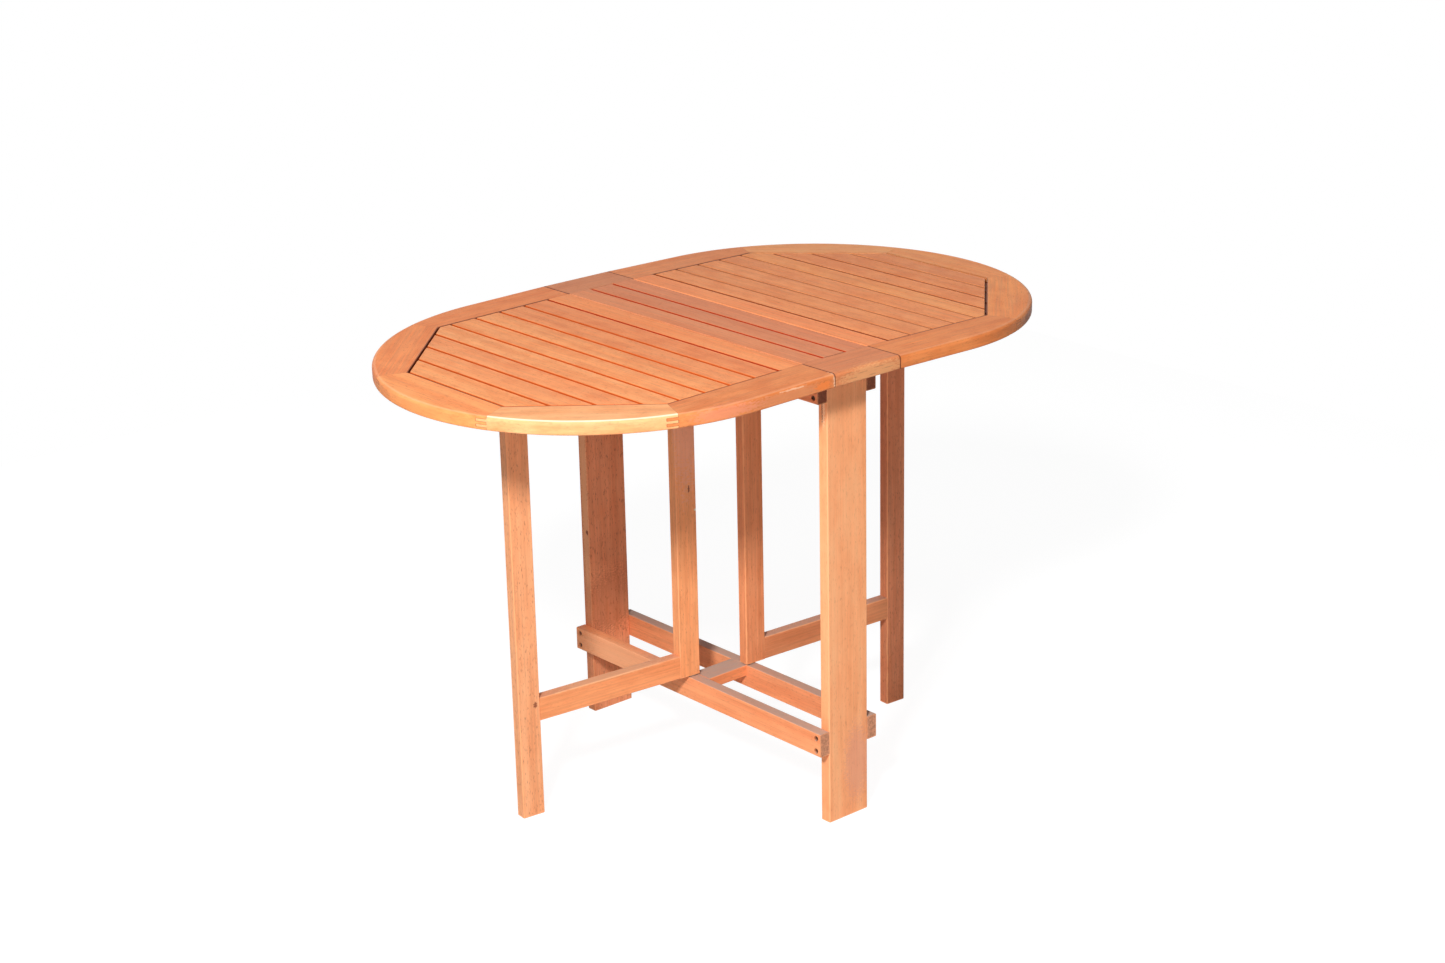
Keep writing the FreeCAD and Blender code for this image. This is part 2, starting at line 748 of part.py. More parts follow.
def turned_piece(label, profile):
    """A turned piece about Z: profile is a list of (radius, height) corners that starts on the axis."""
    body = new_body(label, handed_on=False)
    sketch = new_sketch(body, "profile", "XZ_Plane")
    polygon(sketch, profile)
    turning = body.newObject("PartDesign::Revolution", f"{label}_turning")
    turning.Profile = sketch
    turning.ReferenceAxis = (sketch, ["V_Axis"])
    turning.Angle = 360
    sketch.Visibility = False
    return body


def screw_master(label, radius, head_radius, length, hex_radius, hex_deep):
    """A countersunk wood screw with its head at the origin, pointing down, and a six-sided recess."""
    cone = head_radius - radius
    profile = [(NOUGHT, -length), (radius, -length + radius * 2), (radius, -cone), (head_radius, NOUGHT),
               (NOUGHT, NOUGHT)]
    body = turned_piece(label, profile)
    sketch = new_sketch(body, "recess", "XY_Plane")
    turns = [math.radians(60 * number + 30) for number in range(6)]
    polygon(sketch, [(hex_radius * round(math.cos(turn), 6), hex_radius * round(math.sin(turn), 6))
                     for turn in turns])
    pocket(body, sketch, hex_deep)
    return body


def aimed(direction, across, along, high):
    """A placement that puts a screw's head at a point, with the head's face towards direction."""
    rotation = FreeCAD.Rotation(FreeCAD.Vector(0, 0, 1), FreeCAD.Vector(*direction))
    return FreeCAD.Placement(FreeCAD.Vector(across.value, along.value, high.value), rotation)


def frame_screws():
    """The long screws of the trestle: two at each rail end, and two up through each upper rail."""
    master = screw_master("long_screw_master", size("screw_radius"), size("screw_head_radius"),
                          size("screw_length"), size("hex_radius"), size("hex_deep"))
    places = []
    for side in SIDES.values():
        head = rail_outer - size("screw_sink")
        for level in rail_screw_centres().values():
            for along, high in level:
                places.append(aimed((side, 0, 0), side * head, along, high))
        for end in ENDS.values():
            places.append(aimed((0, 0, -1), side * rail_middle, size("top_screw_place") * end,
                                upper_rail_base + size("top_screw_sink")))
    group_of_copies("frame_screws", master, places)


def gate_pivot_pins():
    """Steel pins with a collar: tight in the rails, running free in the gates' stiles."""
    radius = size("pin_radius") - size("snug_fit")
    depth = size("pin_depth") - size("pin_short")
    collar = size("collar_radius")
    tall = size("gate_gap") - size("collar_slack")
    profile = [(NOUGHT, -depth), (radius, -depth), (radius, NOUGHT), (collar, NOUGHT),
               (collar, tall), (radius, tall), (radius, depth), (NOUGHT, depth)]
    master = turned_piece("pivot_pin_master", profile)
    places = []
    for side in SIDES.values():
        across, along = side * rail_middle, -side * size("pivot_across")
        places.append(aimed((0, 0, 1), across, along, lower_rail_top))
        places.append(aimed((0, 0, -1), across, along, upper_rail_base))
    group_of_copies("gate_pivot_pins", master, places)


def knuckle(body, name, radius, start, length):
    """A round along the hinge line from Y = start; the XZ plane's normal points to -Y."""
    sketch = new_sketch(body, name, "XZ_Plane", -start)
    circle(sketch, size("hinge_axis_in"), hinge_axis_high, radius)
    pad(body, sketch, length, backwards=True)


def bore_for_pin(body):
    sketch = new_sketch(body, "bore", "XZ_Plane", -size("hinge_length"))
    circle(sketch, size("hinge_axis_in"), hinge_axis_high, size("hinge_pin_radius") + size("running_fit"))
    pocket(body, sketch, size("hinge_length") * 2, backwards=True)


def hinge_rail_plate():
    """The plate on the rail's outer face: an end knuckle at each end, cut back between them."""
    body = new_body("hinge_rail_plate_master", handed_on=False)
    half = size("hinge_length") / 2
    inner = size("hinge_length") / 6
    cut = hinge_axis_high - size("knuckle_radius") - size("knuckle_gap")
    sketch = new_sketch(body, "plate", "YZ_Plane", rail_outer)
    base = hinge_axis_high - size("plate_width")
    polygon(sketch, [(-half, base), (half, base), (half, hinge_axis_high), (inner, hinge_axis_high),
                     (inner, cut), (-inner, cut), (-inner, hinge_axis_high), (-half, hinge_axis_high)])
    pad(body, sketch, size("plate_thick"))
    knuckle(body, "near_knuckle", size("knuckle_radius"), -half, half - inner)
    knuckle(body, "far_knuckle", size("knuckle_radius"), inner, half - inner)
    bore_for_pin(body)
    face = rail_outer + size("plate_thick")
    hole = size("small_screw_radius") + size("screw_fit")
    drill_across(body, [(along, rail_plate_spot) for along in hinge_screw_steps], face, -1, size("plate_thick"), hole)
    countersink(body, hole, small_cone, lambda centre: abs(centre.x - face.value) < 1e-6)
    return body


def hinge_leaf_plate():
    """The plate under the leaf, with a tongue to the middle knuckle."""
    body = new_body("hinge_leaf_plate_master", handed_on=False)
    half = size("hinge_length") / 2
    middle = size("hinge_length") / 6 - size("knuckle_gap")
    face = underside - size("plate_thick")
    sketch = new_sketch(body, "plate", "XY_Plane", face)
    rectangle(sketch, seam_out + size("plate_relief"), seam_out + size("plate_width"), -half, half)
    pad(body, sketch, size("plate_thick"))
    sketch = new_sketch(body, "tongue", "XY_Plane", face)
    rectangle(sketch, size("hinge_axis_in"), seam_out + size("plate_relief") * 2, -middle, middle)
    pad(body, sketch, size("plate_thick") - size("plate_relief"))
    knuckle(body, "knuckle", size("knuckle_radius"), -middle, middle * 2)
    bore_for_pin(body)
    hole = size("small_screw_radius") + size("screw_fit")
    drill_up(body, [(leaf_plate_spot, along) for along in hinge_screw_steps], face, size("plate_thick"), hole)
    countersink(body, hole, small_cone, lambda centre: abs(centre.z - face.value) < 1e-6)
    return body


def hinges_and_small_screws():
    """Two hinges a side, the gate stops, and the small screws that hold them."""
    rail_plate = hinge_rail_plate()
    leaf_plate = hinge_leaf_plate()
    pin = new_body("hinge_pin_master", handed_on=False)
    knuckle(pin, "pin", size("hinge_pin_radius"), -size("hinge_length") / 2, size("hinge_length"))
    small = screw_master("small_screw_master", size("small_screw_radius"), size("small_head_radius"),
                         size("small_screw_length"), size("small_hex_radius"), size("small_hex_deep"))
    face = rail_outer + size("plate_thick")
    spots = [size("hinge_place") * end for end in ENDS.values()]
    everywhere = []
    rail_screws = []
    for name, side in SIDES.items():
        rotation = FreeCAD.Rotation(FreeCAD.Vector(0, 0, 1), 0 if side > 0 else 180)
        here = [FreeCAD.Placement(FreeCAD.Vector(0, spot.value, 0), rotation) for spot in spots]
        everywhere += here
        leaf_plates = group_of_copies(f"{name}_leaf_hinge_plates", leaf_plate, here)
        leaf_plates.Placement = leaf_place(side)
        leaf_screws = []
        for spot in spots:
            for step in hinge_screw_steps:
                rail_screws.append(aimed((side, 0, 0), side * face, spot + step, rail_plate_spot))
                leaf_screws.append(aimed((0, 0, -1), side * leaf_plate_spot, spot + step,
                                         underside - size("plate_thick")))
        for across, along in stop_screw_centres(side):
            leaf_screws.append(gate_place(side) * aimed((0, 0, -1), across, along, underside - size("stop_thick")))
        screws = group_of_copies(f"{name}_leaf_screws", small, leaf_screws)
        screws.Placement = leaf_place(side)
    group_of_copies("hinge_rail_plates", rail_plate, everywhere)
    group_of_copies("hinge_pins", pin, everywhere)
    group_of_copies("hinge_rail_screws", small, rail_screws)


# ---------------------------------------------------------------------------
# Gate stops, one under each leaf on the side away from the fold
# ---------------------------------------------------------------------------

def stop_edges(side):
    """Both edges of a stop across the table, in its gate's own frame, near the gate first."""
    near = side * (size("stock_thick") / 2 + size("stop_clearance") - size("pivot_across"))
    return near, near + side * size("stop_width")


def stop_screw_centres(side):
    """(X, Y) of the two screws of a stop, in its gate's own frame."""
    near, far = stop_edges(side)
    middle = gate_leg_out - size("stop_length") / 2
    step = size("stop_length") / 4
    return [(side * (middle - step), (near + far) / 2), (side * (middle + step), (near + far) / 2)]


def gate_stop(name, side):
    near, far = stop_edges(side)
    body = new_body(f"{name}_gate_stop")
    face = underside - size("stop_thick")
    sketch = new_sketch(body, "plan", "XY_Plane", face)
    rectangle(sketch, side * (gate_leg_out - size("stop_length")), side * gate_leg_out, near, far)
    strip = pad(body, sketch, size("stop_thick"))
    round_edges(body, strip, lambda start, finish: start.z < face.value + 1e-6 and finish.z < face.value + 1e-6,
                size("eased_edge"))
    hole = size("small_screw_radius") + size("screw_fit")
    drill_up(body, stop_screw_centres(side), face, size("stop_thick"), hole)
    countersink(body, hole, small_cone, lambda centre: abs(centre.z - face.value) < 1e-6)
    body.Placement = leaf_place(side) * gate_place(side)


def turned_by_gate(side, across, along):
    """Where a spot in a gate's own frame comes to in plan once the gate has swung to its rest."""
    angle = gate_rest_angle(side)
    cosine = Length(math.cos(math.radians(angle.value)), f"cos({angle.text} * 1 deg)")
    sine = Length(math.sin(math.radians(angle.value)), f"sin({angle.text} * 1 deg)")
    pivot_across, pivot_along = side * rail_middle, -side * size("pivot_across")
    step_across, step_along = across - pivot_across, along - pivot_along
    return (pivot_across + step_across * cosine + step_along * sine,
            pivot_along + step_along * cosine - step_across * sine)


def pilot_holes_in_leaves(hinge_stiles, stop_slats):
    """Pilot holes for the small screws, drilled square to each leaf's underside."""
    hole = size("small_screw_radius") + size("screw_fit")
    for name, side in SIDES.items():
        centres = [(side * leaf_plate_spot, size("hinge_place") * end + step)
                   for end in ENDS.values() for step in hinge_screw_steps]
        drill_up(hinge_stiles[name], centres, underside, size("small_screw_length") - size("plate_thick"), hole)
        centres = [turned_by_gate(side, *spot) for spot in stop_screw_centres(side)]
        drill_up(stop_slats[name], centres, underside, size("small_screw_length") - size("stop_thick"), hole)


# ---------------------------------------------------------------------------
# Build everything, check it and write one file a part
# ---------------------------------------------------------------------------

def build():
    slab = stadium_slab()
    centre_frame(slab)
    centre_slats()
    hinge_stiles = {}
    stop_slats = {}
    for name, side in SIDES.items():
        leaf_frame(name, side, slab)
        hinge_stiles[name], boards = leaf_slats(name, side)
        stop_slats[name] = boards[STOP_SLAT]
        gate(name, side)
        gate_stop(name, side)
        for level in ("lower", "upper"):
            trestle_rail(name, side, level)
    pilot_holes_in_leaves(hinge_stiles, stop_slats)
    trestle_legs()
    for level in ("lower", "upper"):
        cross_block(level)
    frame_screws()
    gate_pivot_pins()
    hinges_and_small_screws()


def check_and_write():
    doc.recompute()
    broken = [thing.Label for thing in doc.Objects
              if "Invalid" in thing.State or "Error" in thing.State]
    if broken:
        raise SystemExit(f"not computed: {broken}")
    os.makedirs("parts", exist_ok=True)
    for label, thing in parts.items():
        shape = thing.Shape
        if shape.isNull() or not shape.isValid() or not shape.Solids:
            raise SystemExit(f"bad shape: {label}")
        shape.exportStep(f"parts/{label}.step")
        print(f"{label}: {len(shape.Solids)} solid(s), {shape.Volume / 1000:.2f} cm3")
    print(f"{len(parts)} parts written")


build()
check_and_write()
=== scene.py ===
# %% [markdown]
# # The finish of an oval gateleg table
# The table is oiled reddish hardwood: a slatted oval top in three sections, a narrow trestle and two
# gates that swing out under the leaves. The construction is loaded as a fixed frame and stays as it is.
# This lesson gives each piece its finish, makes the repeated slats and screws again with Geometry Nodes,
# and sets up the camera and the light.

# %% Load the frame
import math
from functools import partialmethod

import bmesh
import bpy
from mathutils import Matrix, Vector


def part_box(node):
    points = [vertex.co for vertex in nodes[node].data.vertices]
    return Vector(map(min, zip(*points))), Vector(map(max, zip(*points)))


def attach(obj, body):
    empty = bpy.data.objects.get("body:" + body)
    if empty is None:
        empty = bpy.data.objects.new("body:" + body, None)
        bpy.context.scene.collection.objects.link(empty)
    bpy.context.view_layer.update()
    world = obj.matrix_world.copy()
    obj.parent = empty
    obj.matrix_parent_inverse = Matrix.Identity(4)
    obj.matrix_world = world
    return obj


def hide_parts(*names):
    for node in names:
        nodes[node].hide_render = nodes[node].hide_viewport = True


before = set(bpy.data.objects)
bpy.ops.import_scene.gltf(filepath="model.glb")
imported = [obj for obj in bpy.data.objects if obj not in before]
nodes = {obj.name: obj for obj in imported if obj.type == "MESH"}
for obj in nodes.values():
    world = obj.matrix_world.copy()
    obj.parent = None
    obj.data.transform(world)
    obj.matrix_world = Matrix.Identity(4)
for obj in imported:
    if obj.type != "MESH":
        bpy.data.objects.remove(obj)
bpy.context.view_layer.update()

scene = bpy.context.scene

# %% [markdown]
# ## Sizes shared with the construction
# Most places can be read from the boxes of the pieces. A few joinery sizes can't be seen in a box, such as
# how far a finger reaches, so they are named here once, in metres, and everything below is worked out
# from them.

# %% Joinery sizes
MM = 0.001
underside = 719 * MM
top_thickness = 21 * MM
opening_half = 275 * MM
corner_start = 322 * MM
corner_end = 490 * MM
corner_end_half = 116 * MM
finger_run = 19 * MM
finger_layers = 5
hinge_axis_place = 62 * MM
hinge_axis_height = 716 * MM
leaf_sag = math.radians(0.8)
gate_turn = {"left": math.radians(-5.7), "right": math.radians(-3.3)}
SIDES = {"left": -1, "right": 1}
ENDS = {"front": -1, "rear": 1}

corner_direction = Vector((corner_end - corner_start, corner_end_half - opening_half)).normalized()
corner_angle = math.atan2(corner_direction.y, corner_direction.x)
corner_slope = -corner_direction.y / corner_direction.x
print(f"the corner pieces lie {-math.degrees(corner_angle):.1f} degrees off the long axis")

# %% [markdown]
# ## The camera
# A camera is easiest to understand as a direction, a distance and a point that it looks at. It stands at
# the front left, a little above the top, far enough away for the legs to stay nearly upright. The tiny
# roll is how the table leans in the frame.

# %% Camera
camera_azimuth = math.radians(-40.75)
camera_elevation = math.radians(19.24)
camera_distance = 4.227
camera_roll = math.radians(-1.2)
camera_target = Vector((0.0126, -0.0011, 0.4712))


def direction(azimuth, elevation):
    """A unit vector from the table outwards; azimuth 0 is the front, positive to the right."""
    level = math.cos(elevation)
    return Vector((math.sin(azimuth) * level, -math.cos(azimuth) * level, math.sin(elevation)))


camera_data = bpy.data.cameras.new("camera")
camera_data.lens = 66.67
camera_data.sensor_width = 36
camera = bpy.data.objects.new("camera", camera_data)
scene.collection.objects.link(camera)
backwards = direction(camera_azimuth, camera_elevation)
turned = backwards.to_track_quat("Z", "Y").to_matrix() @ Matrix.Rotation(camera_roll, 3, "Z")
camera.matrix_world = Matrix.Translation(camera_target + backwards * camera_distance) @ turned.to_4x4()
scene.camera = camera
print(f"the camera stands {camera.location.z:.2f} m above the floor")

# %% [markdown]
# ## The light
# One soft lamp at the left does most of the work, so the left sides of the legs are bright and their
# right sides fall off. It could be a sun, but a lamp at a few metres gets weaker along the table, which is
# what a studio lamp does. Three large weak lamps open the shadows: one high up, one in front and one behind.

# %% Lamps
lamp_target = Vector((0, 0, 0.45))


def lamp(name, azimuth, elevation, distance, width, level):
    """A square soft lamp; level is how bright a white card facing it renders."""
    data = bpy.data.lights.new(name, "AREA")
    data.shape = "SQUARE"
    data.size = width
    data.energy = level * math.pi * math.pi * distance ** 2
    lit = bpy.data.objects.new(name, data)
    towards = direction(math.radians(azimuth), math.radians(elevation))
    lit.location = lamp_target + towards * distance
    lit.rotation_mode = "QUATERNION"
    lit.rotation_quaternion = towards.to_track_quat("Z", "Y")
    scene.collection.objects.link(lit)


lamp("key_lamp", azimuth=-54, elevation=36, distance=4.2, width=0.5, level=1.06)
lamp("high_fill", azimuth=-60, elevation=68, distance=3.2, width=1.4, level=0.15)
lamp("front_fill", azimuth=-36, elevation=12, distance=3.8, width=1.6, level=0.22)
lamp("rear_fill", azimuth=-150, elevation=35, distance=3.5, width=2.0, level=0.05)
scene.view_settings.view_transform = "Standard"
print(f"{len(bpy.data.lights)} lamps")

# %% [markdown]
# ## Building node trees
# Every finish below is a tree of nodes. Writing each node out takes three lines, so a few small helpers
# add a node, set what it holds and connect what feeds it, in one call each. The output of a node is kept as
# a Value, which knows the signs of arithmetic, so a sum of nodes is written as a sum.

# %% Node helpers
class Value:
    """An output of a node; each sign between two of them adds one Math node to their tree."""

    def __init__(self, socket):
        self.socket = socket
        self.tree = socket.id_data

    def calculate(self, operation, *others):
        return maths(operation, self, *others)

    def __rsub__(self, other):
        return maths("SUBTRACT", other, self)

    __add__ = partialmethod(calculate, "ADD")
    __sub__ = partialmethod(calculate, "SUBTRACT")
    __mul__ = partialmethod(calculate, "MULTIPLY")
    __truediv__ = partialmethod(calculate, "DIVIDE")
    __abs__ = partialmethod(calculate, "ABSOLUTE")


def connect(value, socket):
    """Links a Value to an input of a node, or sets a plain value there."""
    if isinstance(value, Value):
        value.tree.links.new(value.socket, socket)
    else:
        socket.default_value = value


def add(tree, kind, inputs=None, **settings):
    """Adds one node; inputs are by name or number, each a plain value or a Value."""
    node = tree.nodes.new(kind)
    for name, value in settings.items():
        setattr(node, name, value)
    for key, value in (inputs or {}).items():
        connect(value, node.inputs[key])
    return node


def made(tree, kind, inputs=None, which=0, **settings):
    """Adds one node and gives back one of its outputs."""
    return Value(add(tree, kind, inputs, **settings).outputs[which])


def outputs(node):
    """All outputs of a node by name."""
    return {socket.name: Value(socket) for socket in node.outputs}


def shared_tree(*values):
    """The tree that these values belong to."""
    return next(value.tree for value in values if isinstance(value, Value))


def maths(operation, *values):
    """One Math node."""
    return made(shared_tree(*values), "ShaderNodeMath", dict(enumerate(values)), operation=operation)


def least(first, second):
    """The smaller of two values."""
    return maths("MINIMUM", first, second)


def most(first, *others):
    """The largest of several values."""
    for other in others:
        first = maths("MAXIMUM", first, other)
    return first


def ranged(value, start, finish, low=0.0, high=1.0):
    """Stretches start...finish to low...high and stops there."""
    inputs = {"Value": value, "From Min": start, "From Max": finish, "To Min": low, "To Max": high}
    return made(value.tree, "ShaderNodeMapRange", inputs)


def vectors(operation, *values, which=0):
    """One Vector Math node."""
    inputs = dict(enumerate(values))
    return made(shared_tree(*values), "ShaderNodeVectorMath", inputs, which, operation=operation)


def scaled(colour, factor):
    """A colour times a number."""
    return made(colour.tree, "ShaderNodeVectorMath", {0: colour, "Scale": factor}, operation="SCALE")


def parts(vector):
    """X, Y and Z of a vector."""
    return outputs(add(vector.tree, "ShaderNodeSeparateXYZ", {0: vector})).values()


def point(tree, **axes):
    """A vector from its X, Y and Z; what isn't given is zero."""
    return made(tree, "ShaderNodeCombineXYZ", axes)


def mixed(factor, first, second, how="MIX"):
    """Mixes two colours."""
    tree = shared_tree(factor, first, second)
    inputs = {0: factor, 6: first, 7: second}
    return made(tree, "ShaderNodeMix", inputs, 2, data_type="RGBA", blend_type=how)


def laid_over(colour, mask, strength, layer):
    """A colour with another laid over it where the mask is, at this strength."""
    return mixed(mask * strength, colour, layer)


def stretched_noise(position, along, across, detail):
    """Noise drawn out along X: the two numbers are how many waves there are in a metre."""
    waves = vectors("MULTIPLY", position, (along, across, across))
    inputs = {"Vector": waves, "Scale": 1.0, "Detail": detail, "Roughness": 0.55}
    return made(position.tree, "ShaderNodeTexNoise", inputs)


def placed_group(group, inputs):
    """Places a group in the tree that feeds it and gives back its outputs by name."""
    return outputs(add(shared_tree(*inputs.values()), "ShaderNodeGroup", inputs, node_tree=group))


SOCKET_KINDS = {int: "Int", float: "Float", tuple: "Vector"}


def new_group(name, input_sockets, output_sockets, kind="ShaderNodeTree"):
    """A group with named sockets: each is the name of its kind, or a default that shows its kind."""
    tree = bpy.data.node_groups.new(name, kind)
    for label, content in input_sockets.items():
        is_kind = isinstance(content, str)
        socket_kind = content if is_kind else SOCKET_KINDS[type(content)]
        socket = tree.interface.new_socket(label, in_out="INPUT", socket_type=f"NodeSocket{socket_kind}")
        if not is_kind:
            socket.default_value = content
    for label, socket_kind in output_sockets.items():
        tree.interface.new_socket(label, in_out="OUTPUT", socket_type=f"NodeSocket{socket_kind}")
    return tree, outputs(tree.nodes.new("NodeGroupInput")), tree.nodes.new("NodeGroupOutput").inputs


def empty_tree(owner):
    """The node tree of a material or a world, with nothing in it."""
    owner.use_nodes = True
    owner.node_tree.nodes.clear()
    return owner.node_tree


def tone(red, green, blue):
    """A colour given in the usual 0...255 steps, as the linear colour that a shader mixes."""
    steps = [step / 255 for step in (red, green, blue)]
    linear = [step / 12.92 if step <= 0.04045 else ((step + 0.055) / 1.055) ** 2.4 for step in steps]
    return (*linear, 1.0)


print("helpers ready")

# %% [markdown]
# ## The world and the floor
# The table stands in a bright, empty studio. The camera and the reflections see white all round, while
# the diffuse light from the surroundings is weak, so that the lamps shape the wood. The floor is plain and
# pale: it throws soft light up under the top and keeps a faint shadow.

# %% World
WHITE = (1, 1, 1, 1)
diffuse_sky = 0.03
scene.world = bpy.data.worlds.new("studio")
world_tree = empty_tree(scene.world)
rays = outputs(add(world_tree, "ShaderNodeLightPath"))
seen = most(rays["Is Camera Ray"], rays["Is Glossy Ray"], rays["Is Transmission Ray"])
surroundings = ranged(seen, 0, 1, diffuse_sky, 1.0)
sky = made(world_tree, "ShaderNodeBackground", {"Color": WHITE, "Strength": surroundings})
add(world_tree, "ShaderNodeOutputWorld", {"Surface": sky})
print("the world is white to the camera")

# %% Floor
floor_material = bpy.data.materials.new("floor_paper")
floor_tree = empty_tree(floor_material)
camera_ray = made(floor_tree, "ShaderNodeLightPath", which="Is Camera Ray")
paper = made(floor_tree, "ShaderNodeBsdfDiffuse", {"Color": (0.71, 0.70, 0.70, 1)})
faint_paper = made(floor_tree, "ShaderNodeBsdfDiffuse", {"Color": (0.14, 0.14, 0.14, 1)})
glow = made(floor_tree, "ShaderNodeEmission", {"Color": WHITE, "Strength": 0.95})
bright_paper = made(floor_tree, "ShaderNodeAddShader", {0: faint_paper, 1: glow})
floor_surface = made(floor_tree, "ShaderNodeMixShader", {0: camera_ray, 1: paper, 2: bright_paper})
add(floor_tree, "ShaderNodeOutputMaterial", {"Surface": floor_surface})

floor_half = 2.2
floor_mesh = bpy.data.meshes.new("floor")
floor_corners = [(-floor_half, -floor_half, 0), (floor_half, -floor_half, 0),
                 (floor_half, floor_half, 0), (-floor_half, floor_half, 0)]
floor_mesh.from_pydata(floor_corners, [], [(0, 1, 2, 3)])
floor_mesh.materials.append(floor_material)
floor = bpy.data.objects.new("floor", floor_mesh)
scene.collection.objects.link(floor)
print(f"the floor is {2 * floor_half} m square")

# %% [markdown]
# ## Timber as a shader group
# The wood is a straight-grained reddish hardwood under thin oil. Seen close it has slow bands along the
# board, fine fibres, short dark pores and a soft mottled figure, and it is browner where it is cut across.
# A picture of wood would repeat and has a fixed size, so the grain is made from stretched noise instead.
# One group holds it, and every board places the group with its own seed and colours. It reads a position
# with X along the board, measured from the board's middle.

# %% Timber group
PORE_BROWN = (0.20, 0.06, 0.03, 1)
timber, given, result = new_group("timber", {
    "Position": "Vector", "Half Length": 1.0, "Seed": 0.0, "Pale": "Color", "Mid": "Color", "Deep": "Color",
    "End": "Color", "Figure": 0.4, "Fibres": 1.0, "Pores": 0.5, "Cut End": 0.85,
}, {"Color": "Color", "Roughness": "Float", "Height": "Float"})
seed = given["Seed"]
place = vectors("ADD", given["Position"], point(timber, X=seed * 3.17, Y=seed * 0.71, Z=seed * 1.93))
bands = stretched_noise(place, 2.6, 55, 3)
figure = stretched_noise(place, 26, 42, 2)
fibre = stretched_noise(place, 10, 300, 3)
pore_noise = stretched_noise(place, 140, 620, 1)

ring = bands + (figure - 0.5) * given["Figure"]
ground = mixed(ranged(ring, 0.30, 0.52), given["Deep"], given["Mid"])
ground = mixed(ranged(ring, 0.50, 0.72), ground, given["Pale"])
fibred = scaled(ground, ranged(fibre, 0.25, 0.75, -0.15, 0.12) * given["Fibres"] + 1.0)
pores = ranged(pore_noise, 0.60, 0.74) * given["Pores"]
pored = laid_over(fibred, pores, 0.55, PORE_BROWN)

along_board, _, _ = parts(given["Position"])
to_end = given["Half Length"] - abs(along_board)
cut = ranged(to_end, 0.9 * MM, 0.3 * MM) * given["Cut End"]
end_grain = mixed(ranged(fibre, 0.35, 0.65), scaled(given["End"], 0.58), given["End"])
connect(mixed(cut, pored, end_grain), result["Color"])
connect(ranged(fibre + pores, 0.3, 1.2, 0.46, 0.66), result["Roughness"])
connect(fibre * 0.5 - pores, result["Height"])
print(f"the timber group has {len(timber.nodes)} nodes")

# %% [markdown]
# ## Edge wear and painted highlight as a shader group
# Handling rubs the sharp arrises first: the oil goes and the wood is paler there. The same paler line is
# also a painted highlight, standing in for the light that an arris catches. A point is on an arris where
# it is near two faces of the board at once, so the group compares the distances to the board's faces and
# takes the second smallest. Noise breaks the line up.

# %% Edge wear and highlight group
wear_highlight_group, given, result = new_group(
    "edge_wear_and_highlight", {"Position": "Vector", "Half Size": "Vector", "Width": 2.5 * MM}, {"Mask": "Float"})
folded = vectors("ABSOLUTE", given["Position"])
to_end, to_side, to_face = parts(vectors("SUBTRACT", given["Half Size"], folded))
second = least(most(least(to_side, to_face), to_end), most(to_side, to_face))
breakup = stretched_noise(given["Position"], 40, 220, 2)
width = given["Width"] * ranged(breakup, 0.35, 0.65, 0.35, 1.3)
connect(ranged(1.0 - second / width, 0.0, 0.6), result["Mask"])
print(f"the edge wear group has {len(wear_highlight_group.nodes)} nodes")

# %% [markdown]
# ## Glue lines of the finger joints
# The rim of each leaf is five pieces whose ends are mitred and locked with fingers, five layers thick. The
# glue between them shows as a thin dark line: a faint straight mitre on top, and a stepped line on the edge.
# The four corners are mirror images, so the group folds the position into one corner and draws both joints
# of that corner. It undoes the sag of the leaf first, so that the layers are level.

# %% Glue line group
glue_lines, given, result = new_group(
    "glue_lines", {"Position": "Vector", "Width": 0.7 * MM}, {"Mask": "Float"})
layer_height = top_thickness / finger_layers
across, along, height = parts(given["Position"])
out, side_on = abs(across), abs(along)
drop = (out - hinge_axis_place) * math.tan(leaf_sag)
layer = (height + drop - underside) / layer_height
layer = least(most(layer, 0.01), finger_layers - 0.01)
is_finger = maths("MODULO", maths("FLOOR", layer), 2)
to_layer = abs(layer - maths("ROUND", layer)) * layer_height
inside = maths("GREATER_THAN", layer, 0.5) * maths("LESS_THAN", layer, finger_layers - 0.5)


def joint_line(corner, outwards, towards):
    """Mask of one mitre: its inner point, the way it runs, and the side that the fingers run to."""
    normal = Vector((outwards.y, -outwards.x)).normalized()
    if normal.dot(towards) < 0:
        normal.negate()
    reach = finger_run * normal.dot(towards.normalized())
    half_width = given["Width"] * 0.5
    beyond = (out - corner.x) * normal.x + (side_on - corner.y) * normal.y
    stepped = maths("LESS_THAN", abs(beyond - is_finger * reach), half_width)
    within_reach = maths("LESS_THAN", abs(beyond - reach / 2), reach / 2)
    level_line = maths("LESS_THAN", to_layer, half_width) * within_reach
    return most(stepped, level_line * inside)


first_mitre = Vector((-corner_direction.y, corner_direction.x + 1))
second_mitre = Vector((-corner_direction.y + 1, corner_direction.x))
first_line = joint_line(Vector((corner_start, opening_half)), first_mitre, corner_direction)
second_line = joint_line(Vector((corner_end, corner_end_half)), second_mitre, corner_direction)
fainter_on_top = ranged(layer, finger_layers - 0.3, finger_layers - 0.05, 1.0, 0.35)
connect(most(first_line, second_line) * fainter_on_top, result["Mask"])
print(f"the glue line group has {len(glue_lines.nodes)} nodes")
